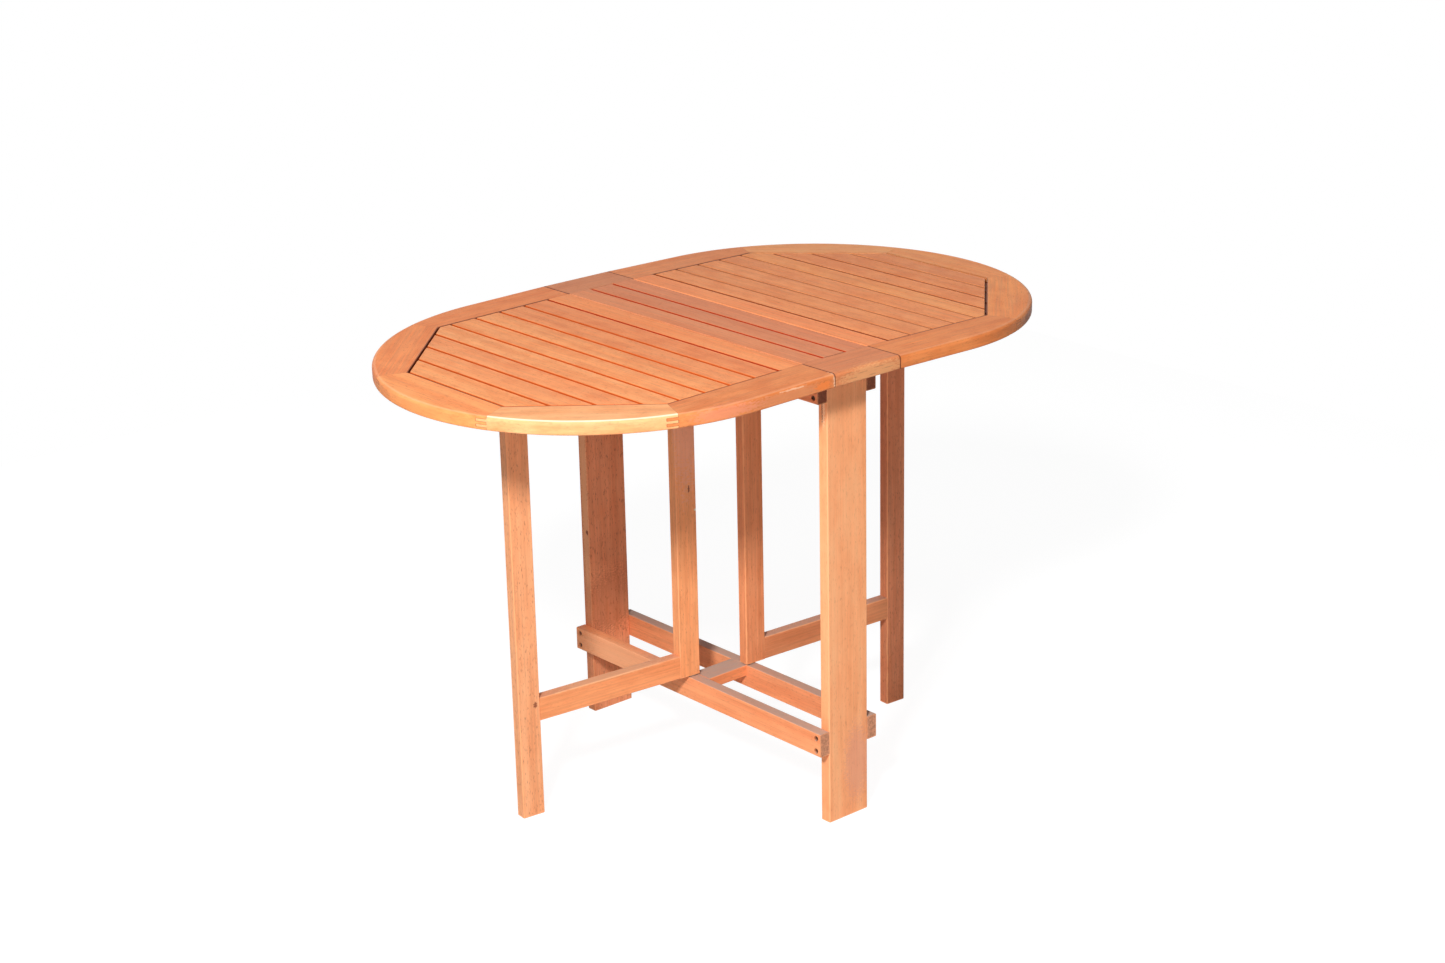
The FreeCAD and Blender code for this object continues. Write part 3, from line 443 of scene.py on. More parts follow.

# %% [markdown]
# ## Painted shade in the gaps and along the opening
# The narrow gaps of the top lie in shade, so their walls are painted a deeper orange than the boards, and
# the line where the boards meet the rim is painted dark as shade. Depth below the top gives the first
# mask, and the distance from the eight-sided opening gives the second. Both fold the position as the glue
# lines do. The seams beside the centre get no painted wall shade. Along the stiles, and at the right leaf's
# far corner and end, the line is painted weaker, as those walls are lit.

# %% Gap group
gaps, given, result = new_group(
    "gaps", {"Position": "Vector", "Width": 2.3 * MM}, {"Wall": "Float", "Opening": "Float"})
across, along, height = parts(given["Position"])
out, side_on = abs(across), abs(along)
past_hinge = most(out - hinge_axis_place, 0.0)
depth = (underside + top_thickness) - past_hinge * math.tan(leaf_sag) - height
below_top = ranged(depth, 0.1 * MM, 0.7 * MM)
above_underside = ranged(depth, top_thickness - 0.5 * MM, top_thickness - 2 * MM)
seam_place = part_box("centre_right_stile")[1].x
clear_of_seam = ranged(abs(out - seam_place), 3 * MM, 5 * MM)
connect(below_top * above_underside * clear_of_seam, result["Wall"])

past_side = side_on - opening_half
past_slant = (out - corner_start) * -corner_direction.y + past_side * corner_direction.x
past_opening = most(past_side, past_slant, out - corner_end)
opening_shade_line = ranged(abs(past_opening), given["Width"], given["Width"] * 0.6)
far_corner = (ranged(across, corner_start, corner_start + 10 * MM, 0, 0.8)
              * ranged(along, corner_end_half, corner_end_half + 10 * MM))
right_end = ranged(across, corner_end - 8 * MM, corner_end - 4 * MM, 0, 0.5)
slat_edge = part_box("centre_slat")[1].x
stile_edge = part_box("right_leaf_hinge_stile")[1].x
beside_stiles = (ranged(out, slat_edge, slat_edge + 3 * MM, 0, 0.8)
                 * ranged(out, stile_edge, stile_edge - 3 * MM))
less_opening_shade = most(far_corner, right_end, beside_stiles)
connect(opening_shade_line * (1.0 - less_opening_shade), result["Opening"])
print(f"the gap group has {len(gaps.nodes)} nodes")

# %% [markdown]
# ## Dust on faces that look up
# The low rails and blocks are duller and greyer on top. This is partly dust that settles there and partly
# painted: shade from the top above them and a sheen of the white surroundings. The face's own direction
# gives the mask, and noise leaves it uneven. A board can also be clean from some place along it.

# %% Dust, shade and sheen group
never_clean = 10.0
dust_shade_and_sheen, given, result = new_group(
    "dust_shade_and_sheen", {"Position": "Vector", "Normal": "Vector", "Clean From": never_clean}, {"Mask": "Float"})
_, _, upwards = parts(given["Normal"])
along_board, _, _ = parts(given["Position"])
patches = stretched_noise(given["Position"], 30, 90, 3)
not_clean = ranged(along_board - given["Clean From"], 0.0, -0.10)
connect(ranged(upwards, 0.45, 0.85) * ranged(patches, 0.2, 0.7, 0.75, 1.0) * not_clean, result["Mask"])
print(f"the dust group has {len(dust_shade_and_sheen.nodes)} nodes")

# %% [markdown]
# ## Knots and streaks
# Some boards have marks of their own: a small knot, a streak of mineral or filler, a paler or browner
# patch, or a fine crack. Other marks are painted light and shade: the dark of a screw recess, a few
# shadows and highlights, and paler patches where more light reaches a face. Each is an oval round one
# point of the board, with an uneven edge. The group gives a mask, and the material chooses the colour.

# %% Spot group
spot, given, result = new_group(
    "spot", {"Position": "Vector", "Centre": "Vector", "Size": (0.01, 0.01, 0.01)}, {"Mask": "Float"})
in_sizes = vectors("DIVIDE", vectors("SUBTRACT", given["Position"], given["Centre"]), given["Size"])
uneven = stretched_noise(given["Position"], 180, 420, 2)
away = vectors("LENGTH", in_sizes, which="Value") + ranged(uneven, 0.3, 0.7, -0.35, 0.35)
connect(ranged(away, 1.0, 0.6), result["Mask"])
print(f"the spot group has {len(spot.nodes)} nodes")

# %% [markdown]
# ## Where each board lies
# The grain has to run along each board, so its material needs the board's own axes: X along the grain, and
# the middle of the board as zero. The turn is known from how the piece is built in, and its middle and
# size are measured in those axes from the vertices of the frame's piece.

# %% Board axes
def extent(places):
    """The low and the high corner of the box round these places."""
    return [Vector([pick(place[axis] for place in places) for axis in range(3)]) for pick in (min, max)]


def board_axes(piece, turn):
    """Middle and half size of a piece, measured in axes turned by the matrix turn."""
    back = turn.inverted()
    low, high = extent([back @ vertex.co for vertex in piece.data.vertices])
    return turn @ ((low + high) / 2), (high - low) / 2


def sagging(side):
    """The small turn of a leaf about its hinge line; the centre has none."""
    return Matrix.Rotation(leaf_sag * side, 3, "Y")


along_top = Matrix.Identity(3)
across_top = Matrix.Rotation(math.radians(90), 3, "Z")
upright = Matrix.Rotation(math.radians(-90), 3, "Y")
print("grain directions: along the top, across it, and upright")

# %% [markdown]
# ## Wood materials
# A board's material reads its Object coordinates, turned into the board's axes by a Mapping node, and places
# the groups. The shader's plain numbers, such as the strength of its reflection, stay on the shader.

# %% Wood palette
WOODS = {
    "slat": tone(243, 153, 94),
    "rim": tone(237, 144, 86),
    "centre": tone(222, 137, 92),
    "leg": tone(243, 160, 108),
    "gate": tone(240, 154, 101),
    "rail": tone(240, 153, 102),
}
# painted shade: the walls of the gaps, the deepest of them, and the dark line along the opening
GAP_WALL_SHADES = {"left": (0.62, 0.095, 0.010, 1), "centre": (0.45, 0.035, 0.004, 1),
             "right": (0.45, 0.155, 0.065, 1), "deepest_shade": (0.25, 0.042, 0.012, 1)}
OPENING_SHADE = (0.18, 0.045, 0.02, 1)
GLUE_BROWN = (0.22, 0.07, 0.035, 1)
HIGHLIGHT_PALE = (0.95, 0.80, 0.60, 1)
DUST_SHADE_SHEEN_GREY = (0.43, 0.34, 0.285, 1)
END_BROWN = (0.62, 0.29, 0.17)
NO_TINT = (1, 1, 1)


def tinted(colour, tint):
    """A colour of the palette, lifted or browned for one board."""
    return tuple(min(channel * share, 0.95) for channel, share in zip(colour, tint)) + (1.0,)


def shades(wood_name, tint=NO_TINT):
    """Pale, middle and deep colour of one board; the deep one is redder, as late wood is."""
    mid = tinted(WOODS[wood_name], tint)
    return {"Pale": tinted(mid, (1.05, 1.11, 1.16)), "Mid": mid, "Deep": tinted(mid, (0.93, 0.84, 0.78))}


def new_surface(name, plain_values):
    """Starts a material: one shader with these plain values, and the object's coordinates."""
    material = bpy.data.materials.new(name)
    tree = empty_tree(material)
    shader = add(tree, "ShaderNodeBsdfPrincipled", plain_values)
    connect(Value(shader.outputs[0]), add(tree, "ShaderNodeOutputMaterial").inputs["Surface"])
    return material, shader, made(tree, "ShaderNodeTexCoord", which="Object")


def new_wood(name, middle, turn):
    """Starts a wood material; the last thing it gives back is the position in the board's axes."""
    material, shader, object_place = new_surface(name, {"Specular IOR Level": 0.17})
    inputs = {"Vector": object_place, "Location": middle, "Rotation": turn.to_euler()}
    position = made(object_place.tree, "ShaderNodeMapping", inputs, vector_type="TEXTURE")
    return material, shader, object_place, position


def feed(shader, colour, roughness, height, strength=0.25, depth=0.6 * MM):
    """Connects colour, roughness and relief to the shader."""
    connect(colour, shader.inputs["Base Color"])
    connect(roughness, shader.inputs["Roughness"])
    relief = {"Strength": strength, "Distance": depth, "Height": height}
    connect(made(colour.tree, "ShaderNodeBump", relief), shader.inputs["Normal"])


def with_gap_shade(colour, object_place, wall=None, deeper_shade=None):
    """Paints shade on the gap walls and a shade line along the opening; the rim has the line only."""
    gap = placed_group(gaps, {"Position": object_place})
    if wall:
        wall_shade = GAP_WALL_SHADES[wall]
        if deeper_shade is not None:
            wall_shade = mixed(deeper_shade, wall_shade, GAP_WALL_SHADES["deepest_shade"])
        colour = mixed(gap["Wall"], colour, wall_shade)
    return laid_over(colour, gap["Opening"], 0.85, OPENING_SHADE)


def mark(place, size, colour, strength):
    """One mark: its place in the object's coordinates, its half size in millimetres, colour and strength."""
    return Vector(place), tuple(length * MM for length in size), colour + (1,), strength


def finish_piece(node, material):
    """Gives a piece of the frame its material in every slot."""
    for slot in nodes[node].material_slots:
        slot.material = material


def finish_board(node, turn, wood_name, seed, tint=NO_TINT, figure=0.4, fibres=1.0, pores=0.5, wear_and_highlight=0.5,
                 marks=(), joints=False, wall=None, painted_highlight=0.0, dust_shade_sheen=0.0, clean_from=never_clean,
                 end=END_BROWN):
    """Gives one board of the frame a material of its own; turn is how its grain lies."""
    middle, half_size = board_axes(nodes[node], turn)
    material, shader, object_place, position = new_wood(f"{node}_wood", middle, turn)
    wood = placed_group(timber, {
        "Position": position, "Half Length": half_size.x, "Seed": seed, "Figure": figure, "Fibres": fibres,
        "Pores": pores, "End": end + (1.0,), **shades(wood_name, tint)})
    colour = wood["Color"]
    face = made(position.tree, "ShaderNodeTexCoord", which="Normal")
    # a painted highlight along the rounded top edge, where it would catch the light
    if painted_highlight:
        _, _, upwards = parts(face)
        highlight_band = ranged(upwards, 0.70, 0.86) * ranged(upwards, 0.998, 0.97)
        colour = laid_over(colour, highlight_band, painted_highlight, HIGHLIGHT_PALE)
    # pale arrises: partly wear, partly a painted highlight
    if wear_and_highlight:
        edges = placed_group(wear_highlight_group, {"Position": position, "Half Size": half_size})
        colour = laid_over(colour, edges["Mask"], wear_and_highlight, tinted(WOODS[wood_name], (1.1, 1.25, 1.4)))
    if joints:
        lines = placed_group(glue_lines, {"Position": object_place})
        colour = laid_over(colour, lines["Mask"], 0.75, GLUE_BROWN)
    if joints or wall:
        colour = with_gap_shade(colour, object_place, wall)
    # greyer tops: partly dust, partly painted shade and painted sheen
    if dust_shade_sheen:
        dust_shade_sheen_mask = placed_group(dust_shade_and_sheen, {"Position": position, "Normal": face, "Clean From": clean_from})
        colour = laid_over(colour, dust_shade_sheen_mask["Mask"], dust_shade_sheen, DUST_SHADE_SHEEN_GREY)
    for centre, size, mark_colour, strength in marks:
        oval = placed_group(spot, {"Position": object_place, "Centre": centre, "Size": size})
        colour = laid_over(colour, oval["Mask"], strength, mark_colour)
    feed(shader, colour, wood["Roughness"], wood["Height"])
    finish_piece(node, material)


print(f"{len(WOODS)} woods in the palette")

# %% [markdown]
# ## The rim
# Ten pieces follow the oval: on each leaf two straight sides, two slanting corners and an outer end. The
# grain turns with each piece, which is what makes the joints visible on the real top. The rounded top edge
# of each piece has a painted highlight, strongest on the left front corner. The left front side has pale
# and brown patches towards the hinge; one pale streak on its upper arris is a painted highlight, and the
# pale mark at the seam's end is filler with a painted highlight. The edge of the right front corner is
# darkened with painted shade.

# %% Rim materials
RIM_TINTS = {
    "left_leaf_front_side": (0.85, 0.82, 0.77), "left_leaf_front_corner": (1.06, 1.46, 1.85),
    "left_leaf_outer_end": (1.09, 1.16, 1.14), "left_leaf_rear_corner": (0.98, 0.94, 0.92),
    "left_leaf_rear_side": (0.93, 0.85, 0.82), "right_leaf_front_side": (0.94, 0.89, 0.80),
    "right_leaf_front_corner": (1.07, 1.12, 1.06), "right_leaf_outer_end": (1.18, 1.22, 1.23),
    "right_leaf_rear_corner": (1.20, 1.34, 1.46), "right_leaf_rear_side": (0.94, 0.92, 0.96),
}
SEAM_END = (0.24, 0.07, 0.035)
seam_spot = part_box("left_leaf_front_side")
seam_x, rim_y = seam_spot[1].x, seam_spot[0].y
rim_marks = {
    "left_leaf_front_side": [
        mark((seam_x - 85 * MM, rim_y, 0.7265), (115, 9, 10), (0.70, 0.29, 0.145), 0.45),
        mark((seam_x - 205 * MM, rim_y + 7 * MM, 0.727), (85, 16, 11), (0.78, 0.27, 0.16), 0.55),
        # painted highlight on the upper arris of the edge
        mark((seam_x - 80 * MM, rim_y + 0.5 * MM, 0.735), (27, 4, 1.3), (0.95, 0.72, 0.50), 0.4),
        # pale filler at the seam's end, with a painted highlight
        mark((seam_x, rim_y + 7 * MM, 0.730), (3.5, 14, 12), (0.95, 0.66, 0.45), 0.9),
        mark((seam_x - 22 * MM, rim_y + 1 * MM, 0.727), (20, 8, 7), (0.90, 0.22, 0.04), 0.7)],
    # painted shade: the right front corner's edge is darkened where little light reaches it
    "right_leaf_front_corner": [mark((0.425, -0.272, 0.7195), (85, 85, 13), (0.30, 0.10, 0.05), 0.75)],
}
rim_seed = 0
for side_name, side in SIDES.items():
    for end_name, end in ENDS.items():
        corner_turn = sagging(side) @ Matrix.Rotation(corner_angle * side * end, 3, "Z")
        for part, turn in (("side", sagging(side)), ("corner", corner_turn)):
            node = f"{side_name}_leaf_{end_name}_{part}"
            rim_seed += 1
            # the left front corner has the strongest painted highlight
            painted_highlight = 0.8 if node == "left_leaf_front_corner" else 0.12
            figure = 1.4 if node == "left_leaf_front_side" else 0.9
            finish_board(node, turn, "rim", rim_seed, tint=RIM_TINTS[node], figure=figure, wear_and_highlight=0,
                         joints=True, painted_highlight=painted_highlight, marks=rim_marks.get(node, ()), end=SEAM_END)
    node = f"{side_name}_leaf_outer_end"
    rim_seed += 1
    finish_board(node, sagging(side) @ across_top, "rim", rim_seed, tint=RIM_TINTS[node], figure=0.6, wear_and_highlight=0,
                 joints=True, painted_highlight=0.12)
print(f"{rim_seed} rim pieces finished")

# %% [markdown]
# ## The fixed centre and the hinge stiles
# The centre is a little browner and greyer than the leaves, as boards from another plank are. The outer
# edges of its ends are paler and have a few fine cracks. The hinge stiles beside it are brighter.

# %% Centre and hinge stile materials
CENTRE_END_TINTS = {"front": (0.90, 0.86, 0.79), "rear": (0.87, 0.87, 0.87)}
CRACKS = [(-38, 735), (-12, 731), (-30, 726), (22, 733), (40, 728), (8, 724)]
for number, (end_name, end) in enumerate(ENDS.items()):
    node = f"centre_{end_name}_end"
    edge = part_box(node)[0 if end < 0 else 1].y
    pale_edge = mark((0.006, edge, 0.727), (75, 19, 15), (0.80, 0.41, 0.185), 0.6)
    cracks = [mark((across * MM, edge, level * MM), (11, 3, 0.9), (0.36, 0.14, 0.06), 0.5)
              for across, level in CRACKS]
    finish_board(node, along_top, "centre", 21 + number, tint=CENTRE_END_TINTS[end_name], wear_and_highlight=0,
                 marks=[pale_edge] + cracks, end=SEAM_END)
# the last column names the painted shade on the gap walls
CENTRE_BOARDS = {
    "centre_left_stile": (0, (1.0, 0.98, 0.94), "centre"),
    "centre_slat": (0, (0.96, 0.94, 0.95), "centre"),
    "centre_right_stile": (0, (1.0, 0.97, 0.98), "centre"),
    "left_leaf_hinge_stile": (-1, (1.02, 0.96, 0.94), "centre"),
    "right_leaf_hinge_stile": (1, (1.08, 0.95, 0.95), "deepest_shade"),
}
for number, (node, (side, tint, wall)) in enumerate(CENTRE_BOARDS.items()):
    wood_name = "slat" if side else "centre"
    finish_board(node, sagging(side) @ across_top, wood_name, 31 + number, tint=tint, wear_and_highlight=0.25, wall=wall)
print(f"{len(CENTRE_BOARDS)} long boards finished")

# %% [markdown]
# ## The trestle
# Two broad legs stand upright, four rails run between them and two small blocks tie the rails together
# where the gates turn. The screws sit in recesses of the rails, which are darkened with painted shade.

# %% Trestle materials
leg_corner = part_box("front_leg")[0]
streak_place = Vector((leg_corner.x, leg_corner.y + 9 * MM, 0.668))
front_leg_marks = [
    mark((0.018, leg_corner.y, 0.085), (30, 8, 75), (0.72, 0.31, 0.215), 0.5),
    mark(streak_place, (4, 5, 30), (0.95, 0.66, 0.40), 0.6),
    mark(streak_place + Vector((0, 2 * MM, 3 * MM)), (4, 1.5, 26), (0.28, 0.05, 0.03), 0.85)]
finish_board("front_leg", upright, "leg", 41, tint=(1.06, 1.16, 1.24), fibres=0.45, pores=0.4,
             marks=front_leg_marks, wear_and_highlight=0.9)
rear_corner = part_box("rear_leg")[0]
rear_leg_marks = [
    # painted light: the left narrow face is paler, as it gets more light than the broad face
    mark((rear_corner.x, rear_corner.y + 8 * MM, 0.43), (3, 9, 330), (0.95, 0.46, 0.23), 0.75),
    mark((rear_corner.x, rear_corner.y + 4.5 * MM, 0.322), (3, 3.5, 5), (0.22, 0.06, 0.03), 0.9),
    # painted shadow of the rail on the rear leg
    mark((0, rear_corner.y, 0.19), (80, 40, 65), (0.36, 0.10, 0.04), 0.4)]
finish_board("rear_leg", upright, "leg", 42, tint=(0.91, 0.88, 1.0), pores=1.0,
             marks=rear_leg_marks, wear_and_highlight=0.3)

RAIL_TINTS = {"left_lower_rail": (1.0, 1.02, 1.07), "right_lower_rail": (0.92, 0.94, 1.0),
              "left_upper_rail": (0.92, 0.86, 0.90), "right_upper_rail": (0.92, 0.86, 0.90)}
for number, (node, tint) in enumerate(RAIL_TINTS.items()):
    is_lower = "lower" in node
    side = SIDES[node.split("_")[0]]
    low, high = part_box(node)
    face = (low if side < 0 else high).x
    # painted shade in the four screw recesses at each end of the rail
    rail_marks = [mark((face - 2.5 * MM * side, along, (low.z + high.z) / 2 + step * MM), (2.7, 7, 7),
                       (0.07, 0.02, 0.01), 0.6 if is_lower else 0.95)
                  for along in (low.y + 9.5 * MM, high.y - 9.5 * MM) for step in (-10.5, 10.5)]
    # the upper rails' cut ends are painted dark: the shade of the top falls on them
    looks = {"dust_shade_sheen": 0.85} if is_lower else {"end": (0.15, 0.04, 0.02)}
    if node == "left_lower_rail":
        looks["clean_from"] = 0.14
        rail_marks.append(mark((face, 0.17, 0.135), (12, 140, 45), (0.90, 0.46, 0.25), 0.5))
    finish_board(node, across_top, "rail", 51 + number, tint=tint, wear_and_highlight=0.45, marks=rail_marks, **looks)
for number, node in enumerate(["lower_cross_block", "upper_cross_block"]):
    finish_board(node, along_top, "rail", 61 + number, wear_and_highlight=0.4, dust_shade_sheen=0.9)
print("trestle finished")

# %% [markdown]
# ## The gates
# Each gate is a frame of an upright stile at the pivot, a long leg and two rails. The left leg has a small
# knot low down and is the palest of the uprights, the left stile has a small knot and a pale dot, and the
# right gate is browner throughout. High on the left stile, where the top's shadow falls, a paler and
# pinker patch stands in for the fill light there: painted light.

# %% Gate materials
leg_low, leg_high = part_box("left_gate_leg")
stile_low, stile_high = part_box("left_gate_stile")
rail_low, rail_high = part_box("left_gate_lower_rail")
gate_marks = {
    "left_gate_lower_rail": [
        mark((-0.20, (rail_low.y + rail_high.y) / 2, rail_high.z), (120, 50, 3), (0.85, 0.52, 0.30), 0.4)],
    "left_gate_leg": [
        mark((leg_high.x - 10 * MM, leg_low.y + 1 * MM, 0.185), (4, 4, 5), (0.20, 0.05, 0.025), 0.85)],
    "left_gate_stile": [
        # painted light: a paler, pinker patch in the top's shade, standing in for fill light
        mark((stile_low.x + 20 * MM, stile_low.y, 0.60), (34, 14, 150), (0.82, 0.42, 0.31), 0.5),
        mark((stile_high.x - 15 * MM, stile_low.y + 1 * MM, 0.473), (2, 3, 8), (0.14, 0.045, 0.03), 0.85),
        mark((stile_high.x - 3.5 * MM, stile_low.y, 0.436), (2.5, 3, 3), (0.80, 0.76, 0.55), 0.9)],
}
GATE_TINTS = {
    "left": {"leg": (0.97, 1.17, 1.40), "stile": (1.0, 1.08, 1.12), "lower_rail": (0.95, 0.96, 0.97),
             "upper_rail": (0.95, 0.96, 0.97)},
    "right": {"leg": (0.84, 0.80, 0.96), "stile": (0.90, 0.88, 0.95), "lower_rail": (0.84, 0.82, 0.88),
              "upper_rail": (0.91, 0.88, 0.95)},
}
for side_name, side in SIDES.items():
    swing = Matrix.Rotation(gate_turn[side_name], 3, "Z")
    for number, (part, tint) in enumerate(GATE_TINTS[side_name].items()):
        node = f"{side_name}_gate_{part}"
        turn = swing if "rail" in part else swing @ upright
        pores = {"leg": 0.8, "stile": 0.5}.get(part, 0.3)
        dust_shade_sheen = {"left_gate_lower_rail": 0.3, "right_gate_lower_rail": 0.55}.get(node, 0.0)
        finish_board(node, turn, "gate", 71 + number + 5 * side, tint=tint, pores=pores, wear_and_highlight=0.75,
                     marks=gate_marks.get(node, ()), dust_shade_sheen=dust_shade_sheen)
    finish_board(f"{side_name}_gate_stop", sagging(side) @ along_top, "gate", 91 + side, wear_and_highlight=0.3)
print("gates finished")

# %% [markdown]
# ## The slats
# Each leaf has eight slats of one width at one pitch, cut to the eight-sided opening and tongued into the
# frame. They follow a rule, so Geometry Nodes make them: a line of points, a board on each point, and its
# ends moved to where the opening is at that place. The sizes are inputs of the tree, and the tongue uses
# the same rule with a longer reach.

# %% Geometry helpers
def realised(geometry):
    """Turns the instances of a geometry into real meshes."""
    return made(geometry.tree, "GeometryNodeRealizeInstances", {"Geometry": geometry})


def copied(points, shape, **inputs):
    """A real copy of a shape on every point."""
    inputs = {"Points": points, "Instance": shape, **inputs}
    return realised(made(points.tree, "GeometryNodeInstanceOnPoints", inputs))


def joined(*pieces):
    """One geometry from several."""
    node = add(pieces[0].tree, "GeometryNodeJoinGeometry")
    for piece in pieces:
        connect(piece, node.inputs[0])
    return Value(node.outputs[0])


def in_material(geometry, material):
    """A geometry that wears a material."""
    return made(geometry.tree, "GeometryNodeSetMaterial", {"Geometry": geometry, "Material": material})


print("4 geometry helpers")

# %% Slat tree
slat_tree, given, result = new_group("slatted_field", {
    "Count": 8, "First Edge": 0.1, "Width": 0.04, "Pitch": 0.05, "Underside": 0.7, "Thickness": 0.02,
    "Opening Half": 0.3, "Corner Start": 0.3, "Corner Slope": 1.0, "End Gap": 0.001, "Corner Gap": 0.003,
    "Tongue Length": 0.007, "Tongue Thickness": 0.007, "Tongue Inset": 0.002, "Material": "Material",
}, {"Geometry": "Geometry"}, "GeometryNodeTree")
slope = given["Corner Slope"]
slant_share = maths("SQRT", slope * slope + 1.0)
line_start = point(slat_tree, X=given["First Edge"] + given["Width"] * 0.5,
                   Z=given["Underside"] + given["Thickness"] * 0.5)
line_step = point(slat_tree, X=given["Pitch"])
line_inputs = {"Count": given["Count"], "Start Location": line_start, "Offset": line_step}
line = made(slat_tree, "GeometryNodeMeshLine", line_inputs, mode="OFFSET")
board_number = made(slat_tree, "GeometryNodeInputIndex")
numbered = made(slat_tree, "GeometryNodeStoreNamedAttribute",
                {"Geometry": line, "Name": "board", "Value": board_number}, data_type="FLOAT", domain="POINT")


def boards(width, thickness, straight_gap, corner_gap):
    """Boards on the points, with ends that stop short of the opening by the gaps."""
    size = point(slat_tree, X=width, Y=2.0, Z=thickness)
    cuts = {"Vertices X": 13, "Vertices Y": 2, "Vertices Z": 2}
    plain = copied(numbered, made(slat_tree, "GeometryNodeMeshCube", {"Size": size, **cuts}))
    across, along, height = parts(made(slat_tree, "GeometryNodeInputPosition"))
    straight = given["Opening Half"] - straight_gap
    slanting = given["Opening Half"] - (across - given["Corner Start"]) * slope - corner_gap * slant_share
    moved = point(slat_tree, X=across, Y=maths("SIGN", along) * least(straight, slanting), Z=height)
    return made(slat_tree, "GeometryNodeSetPosition", {"Geometry": plain, "Position": moved})


slat_boards = boards(given["Width"], given["Thickness"], given["End Gap"], given["Corner Gap"])
tongue_width = given["Width"] - given["Tongue Inset"] * 2.0
past_edge = given["Tongue Length"] * -1.0
tongues = boards(tongue_width, given["Tongue Thickness"], past_edge, past_edge)
connect(in_material(realised(joined(tongues, slat_boards)), given["Material"]), result["Geometry"])
print(f"the slat tree has {len(slat_tree.nodes)} nodes")

# %% [markdown]
# ## From a tree to a plain mesh
# An exported model keeps meshes, not trees. So the modifier is evaluated once, its result becomes an
# ordinary mesh, and the object that carried the modifier is thrown away.

# %% Mesh from a tree
def socket_key(tree, name):
    """The identifier that a modifier uses for the tree's input of that name."""
    for item in tree.interface.items_tree:
        if item.item_type == "SOCKET" and item.in_out == "INPUT" and item.name == name:
            return item.identifier
    raise KeyError(name)


def made_by(tree, name, values, start_mesh=None, arris=None):
    """Runs a tree with these input values and gives back a plain object; arris is how far edges are eased."""
    carrier = bpy.data.objects.new(f"{name}_carrier", start_mesh or bpy.data.meshes.new(f"{name}_empty"))
    modifier = carrier.modifiers.new("nodes", "NODES")
    modifier.node_group = tree
    for key, value in values.items():
        modifier[socket_key(tree, key)] = value
    scene.collection.objects.link(carrier)
    if arris:
        eased = carrier.modifiers.new("eased_edges", "BEVEL")
        eased.width = arris
        eased.segments = 3
        eased.limit_method = "ANGLE"
        eased.angle_limit = math.radians(40)
    bpy.context.view_layer.update()
    graph = bpy.context.evaluated_depsgraph_get()
    mesh = bpy.data.meshes.new_from_object(carrier.evaluated_get(graph))
    bpy.data.objects.remove(carrier)
    mesh.name = name
    piece = bpy.data.objects.new(name, mesh)
    scene.collection.objects.link(piece)
    return piece


print("a tree can now become a mesh")

# %% [markdown]
# ## Slat material
# All eight slats of a leaf are one mesh, so one material has to make each of them a board of its own. The
# tree stored the number of each board on its vertices. The material uses it to pick another stretch of
# grain and another tint for each board.

# %% Slat material
def slat_finish(side_name, turn, tints, seed):
    """One material for a leaf's slats; from the hinge, each has a tint and how deep the painted shade on its
    sides is.
    """
    low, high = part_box(f"{side_name}_leaf_slat_1")
    material, shader, object_place, position = new_wood(f"{side_name}_slat_wood", (low + high) / 2, turn)
    tree = position.tree
    number = made(tree, "ShaderNodeAttribute", which="Fac", attribute_name="board", attribute_type="GEOMETRY")
    wood = placed_group(timber, {
        "Position": position, "Half Length": 1.0, "Seed": number * 1.37 + seed, "Figure": 1.0, "Pores": 0.6,
        "Cut End": 0.0, "End": shades("slat")["Deep"], **shades("slat")})
    ramp = add(tree, "ShaderNodeValToRGB", {0: (number + 0.5) / len(tints)})
    ramp.color_ramp.interpolation = "CONSTANT"
    elements = ramp.color_ramp.elements
    while len(elements) < len(tints):
        elements.new(1.0)
    for index, tint in enumerate(tints):
        elements[index].position = index / len(tints)
        elements[index].color = tint
    chosen = outputs(ramp)
    colour = mixed(1.0, wood["Color"], chosen["Color"], "MULTIPLY")
    colour = with_gap_shade(colour, object_place, side_name, chosen["Alpha"])
    feed(shader, colour, wood["Roughness"], wood["Height"])
    return material


# each: red, green and blue tint, and how much of the deepest painted gap shade the sides get
LEFT_TINTS = [
    (0.90, 0.79, 0.78, 0.15), (0.91, 0.85, 0.86, 0), (0.97, 1.0, 1.02, 0), (0.98, 0.99, 0.99, 0.05),
    (1.0, 1.08, 1.14, 0.1), (0.96, 0.94, 0.97, 0.1), (0.96, 0.95, 0.97, 0.15), (1.0, 1.05, 1.05, 0.15)]
RIGHT_TINTS = [
    (1.0, 0.94, 0.92, 1.0), (0.96, 0.93, 0.92, 0.15), (1.0, 0.98, 0.99, 0.1), (0.99, 0.94, 0.92, 0),
    (1.04, 1.07, 1.02, 0), (1.02, 0.97, 0.95, 0.7), (0.96, 0.88, 0.84, 0.6), (0.97, 0.92, 0.92, 0)]
slat_materials = {"left": slat_finish("left", sagging(-1) @ across_top, LEFT_TINTS, 3.1),
                  "right": slat_finish("right", sagging(1) @ across_top, RIGHT_TINTS, 57.3)}
print(f"{len(slat_materials)} slat materials")

